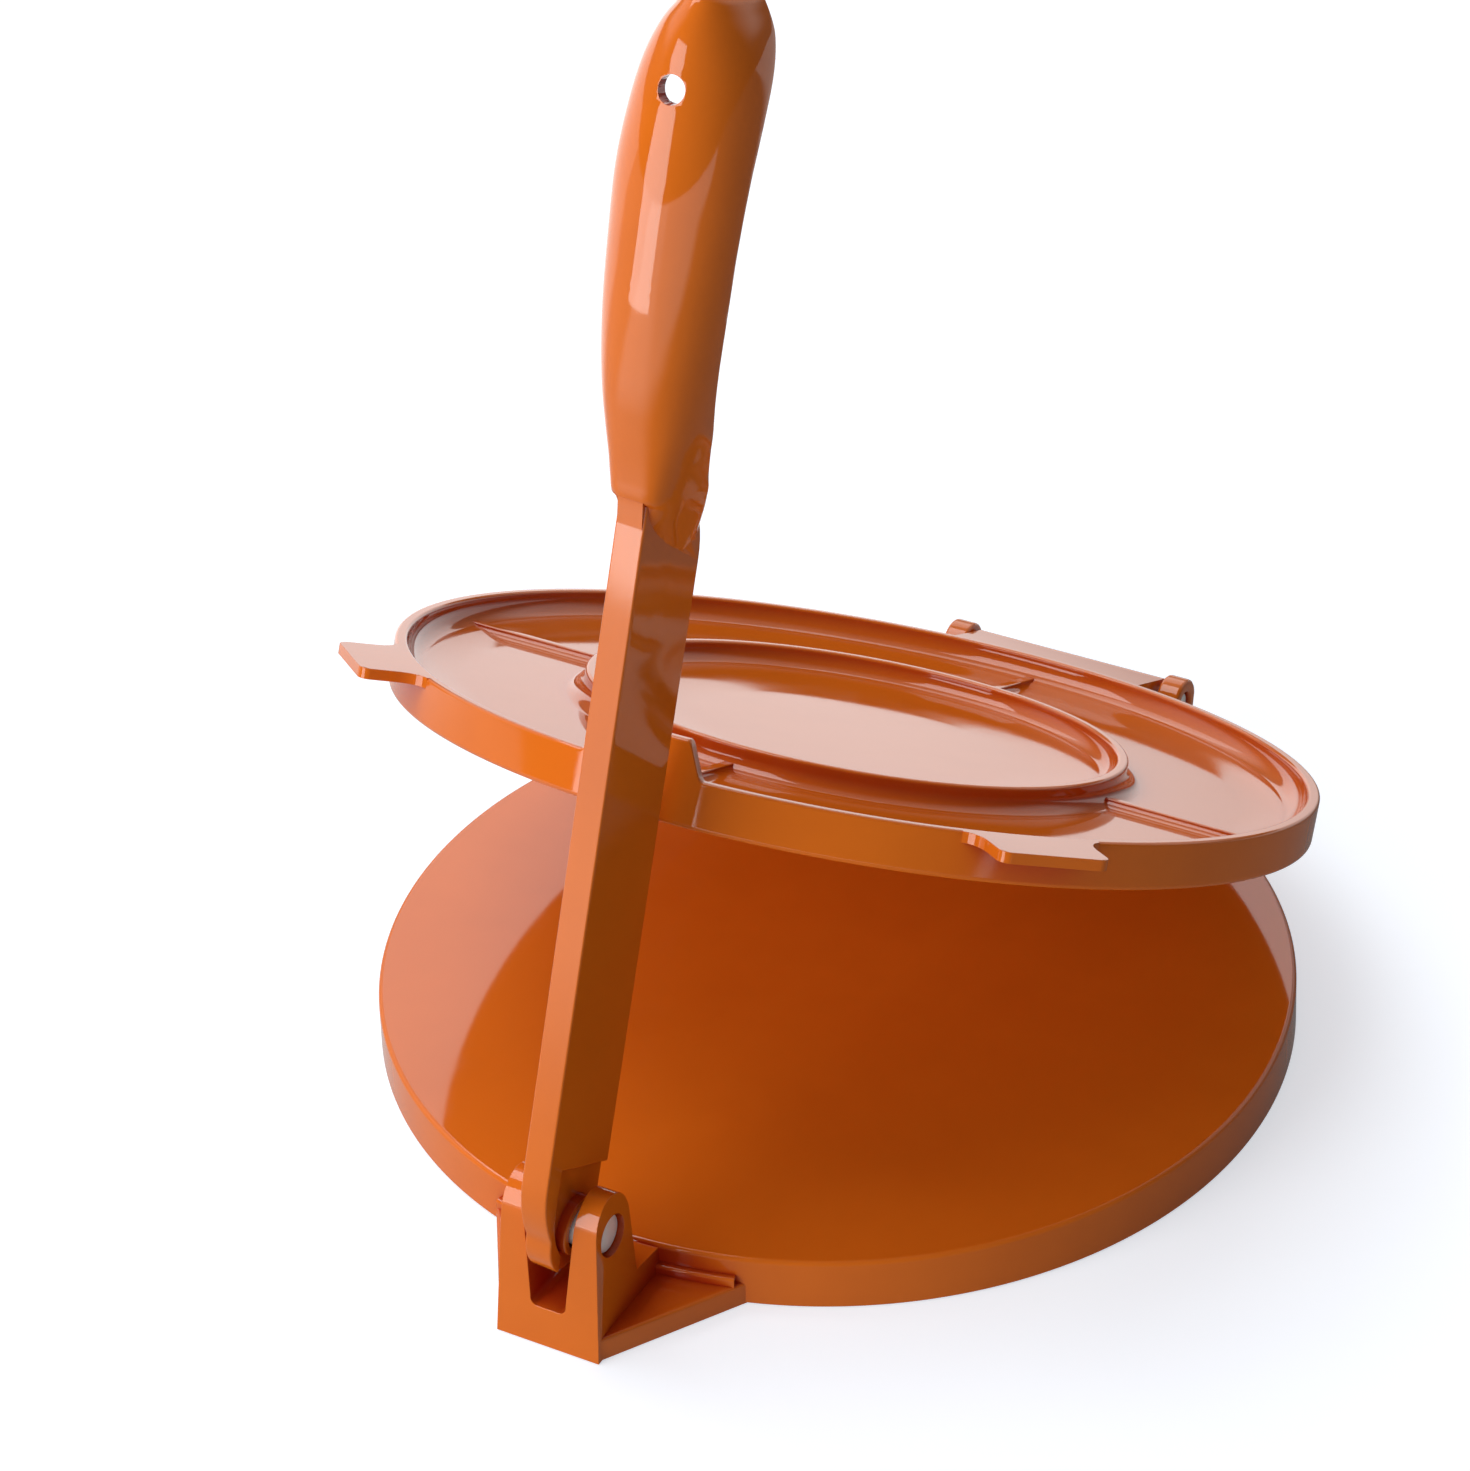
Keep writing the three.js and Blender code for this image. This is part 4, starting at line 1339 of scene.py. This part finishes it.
def soft_lamp(name, place, target, width, height, power):
    data = bpy.data.lights.new(name, "AREA")
    data.shape = "RECTANGLE"
    data.size = width
    data.size_y = height
    data.energy = power
    lamp = bpy.data.objects.new(name, data)
    lamp.location = place
    look_at(lamp, target)
    lamp.visible_camera = False
    bpy.context.scene.collection.objects.link(lamp)


def make_camera(stage):
    sin_az, cos_az = math.sin(stage.azimuth), math.cos(stage.azimuth)
    sin_el, cos_el = math.sin(stage.elevation), math.cos(stage.elevation)
    back = Vector((sin_az * cos_el, -cos_az * cos_el, sin_el))
    level_right = Vector((cos_az, sin_az, 0.0))
    level_up = back.cross(level_right)
    sin_roll, cos_roll = math.sin(stage.roll), math.cos(stage.roll)
    right = level_right * cos_roll + level_up * sin_roll
    up = level_up * cos_roll - level_right * sin_roll
    data = bpy.data.cameras.new("camera")
    data.lens = stage.lens
    data.sensor_width = SENSOR_WIDTH
    data.clip_start = NEAR_CLIP
    data.clip_end = FAR_CLIP
    camera = bpy.data.objects.new("camera", data)
    turn = Matrix((right, up, back)).transposed().to_4x4()
    place = back * stage.distance + right * stage.slide_right + up * stage.slide_up
    camera.matrix_world = Matrix.Translation(place) @ turn
    bpy.context.scene.collection.objects.link(camera)
    bpy.context.scene.camera = camera


def light_path(finish, *names):
    """1 for rays of any of the named kinds and 0 for the others."""
    first, *others = [finish.node("ShaderNodeLightPath", None, None, name) for name in names]
    for other in others:
        first = first.larger(other)
    return first


def floor_finish(stage):
    """Pale and grained, white to look at, with painted reflections: glows of its own that only the
    gloss of the enamel sees.
    """
    material, finish = new_finish("floor_white")
    grain = finish.noise(FLOOR_GRAIN, 2.0)
    pale = (grain * 0.25).mix(opaque(stage.floor_colour), opaque(GRAIN_COLOUR))
    diffuse = finish.node("ShaderNodeBsdfDiffuse", None, {"Color": pale})
    across, back, _ = finish.parts(finish.place())
    far = (across * across + back * back).ramp(*FAR_EDGE)
    seen = light_path(finish, "Is Camera Ray", "Is Transmission Ray")
    lift = seen * (far * (1.0 - stage.floor_lift) + stage.floor_lift)
    scaled = {0: GLOW_COLOUR, "Scale": lift}
    lift_colour = finish.node("ShaderNodeVectorMath", {"operation": "SCALE"}, scaled)
    glow = finish.node("ShaderNodeEmission", None, {"Color": lift_colour})
    lit = finish.node("ShaderNodeAddShader", None, {0: diffuse, 1: glow})
    # Painted reflection: emission seen only by glossy rays, bright far ahead at the front left,
    # higher on the left than the right, and rising behind.
    to_x, to_y = BRIGHT_HEADING
    bright = (across * to_x + back * to_y).ramp(*BRIGHT_AHEAD)
    bright = bright * (back * to_x - across * to_y).ramp(*BRIGHT_ASIDE)
    beside = across.ramp(*LEFT_TO_RIGHT, stage.floor_left, stage.floor_right)
    behind = (back - across * 0.5).ramp(*BACK_EDGE)
    mirrored = bright * stage.floor_gloss + beside + behind * stage.floor_back
    in_gloss = finish.node("ShaderNodeEmission", None, {"Color": mirrored})
    glossy = light_path(finish, "Is Glossy Ray")
    finish.surface(finish.node("ShaderNodeMixShader", None, {0: glossy, 1: lit, 2: in_gloss}))
    return material


def make_floor(stage):
    mesh = bpy.data.meshes.new("floor")
    signs = ((-1, -1), (1, -1), (1, 1), (-1, 1))
    corners = [(FLOOR_HALF * x, FLOOR_HALF * y, 0) for x, y in signs]
    mesh.from_pydata(corners, [], [(0, 1, 2, 3)])
    mesh.materials.append(floor_finish(stage))
    floor = bpy.data.objects.new("floor", mesh)
    floor.location.z = cad_bounds[0].z - FLOOR_DROP
    bpy.context.scene.collection.objects.link(floor)


def make_world(stage):
    """White to look at. The gloss shows it white behind the press and dim in front and low down."""
    world = bpy.data.worlds.new("studio")
    world.use_nodes = True
    bpy.context.scene.world = world
    finish = Finish(world.node_tree)
    direction = finish.node("ShaderNodeTexCoord", None, None, "Generated")
    sideways, backward, upward = finish.parts(direction)
    away = backward * math.cos(stage.azimuth) - sideways * math.sin(stage.azimuth)
    behind = away.ramp(*AWAY_EDGE) * upward.ramp(*HIGH_EDGE, 1.0, HIGH_SHARE)
    behind = behind * upward.ramp(*LOW_EDGE, LOW_SHARE, 1.0)
    mirrored = behind * (1.0 - stage.dim_side) + stage.dim_side
    seen = light_path(finish, "Is Camera Ray", "Is Transmission Ray")
    glossy = light_path(finish, "Is Glossy Ray")
    to_x, to_y = ROOM_HEADING
    room = (sideways * to_x + backward * to_y).ramp(*ROOM_EDGE, 1.0, stage.right_share)
    lit = (1.0 - glossy) * (room * stage.room_light) + glossy * mirrored
    strength = seen + (1.0 - seen) * lit
    shader = finish.node("ShaderNodeBackground", None, {"Color": WHITE, "Strength": strength})
    finish.node("ShaderNodeOutputWorld", None, {"Surface": shader})


class PRESS_OT_stage(bpy.types.Operator):
    """Set up the camera, the floor, the room and the lamps"""

    bl_idname = "press.stage"
    bl_label = "Stage"

    def execute(self, context):
        scene = context.scene
        stage = scene.press_stage
        scene.view_settings.view_transform = "Standard"
        make_camera(stage)
        make_floor(stage)
        make_world(stage)
        centre = (cad_bounds[0] + cad_bounds[1]) / 2
        for name, (place, width, height) in LAMPS.items():
            power = getattr(stage, f"{name}_power")
            soft_lamp(f"{name}_lamp", place, centre, width, height, power)
        return {"FINISHED"}


class PRESS_PT_panel(bpy.types.Panel):
    """Buttons and settings of the press"""

    bl_label = "Tortilla Press"
    bl_idname = "PRESS_PT_panel"
    bl_space_type = "VIEW_3D"
    bl_region_type = "UI"
    bl_category = "Press"

    def draw(self, context):
        layout = self.layout
        for operator in OPERATORS:
            layout.operator(operator.bl_idname)
        for name in SETTINGS:
            group = getattr(context.scene, name)
            box = layout.box()
            for prop in group.bl_rna.properties:
                if prop.identifier not in {"rna_type", "name"}:
                    box.prop(group, prop.identifier)


SETTINGS = {
    "press_castings": CastingSettings,
    "press_enamel": EnamelSettings,
    "press_steel": SteelSettings,
    "press_stage": StageSettings,
}
OPERATORS = (
    PRESS_OT_base,
    PRESS_OT_top_plate,
    PRESS_OT_lever,
    PRESS_OT_pins,
    PRESS_OT_stage,
)
CLASSES = (*SETTINGS.values(), *OPERATORS, PRESS_PT_panel)


def register():
    for cls in CLASSES:
        bpy.utils.register_class(cls)
    for name, group in SETTINGS.items():
        setattr(bpy.types.Scene, name, bpy.props.PointerProperty(type=group))


def unregister():
    for name in SETTINGS:
        delattr(bpy.types.Scene, name)
    for cls in reversed(CLASSES):
        bpy.utils.unregister_class(cls)


def main():
    register()
    bpy.ops.press.base()
    bpy.ops.press.top_plate()
    bpy.ops.press.lever()
    bpy.ops.press.pins()
    bpy.ops.press.stage()


if __name__ == "__main__":
    main()
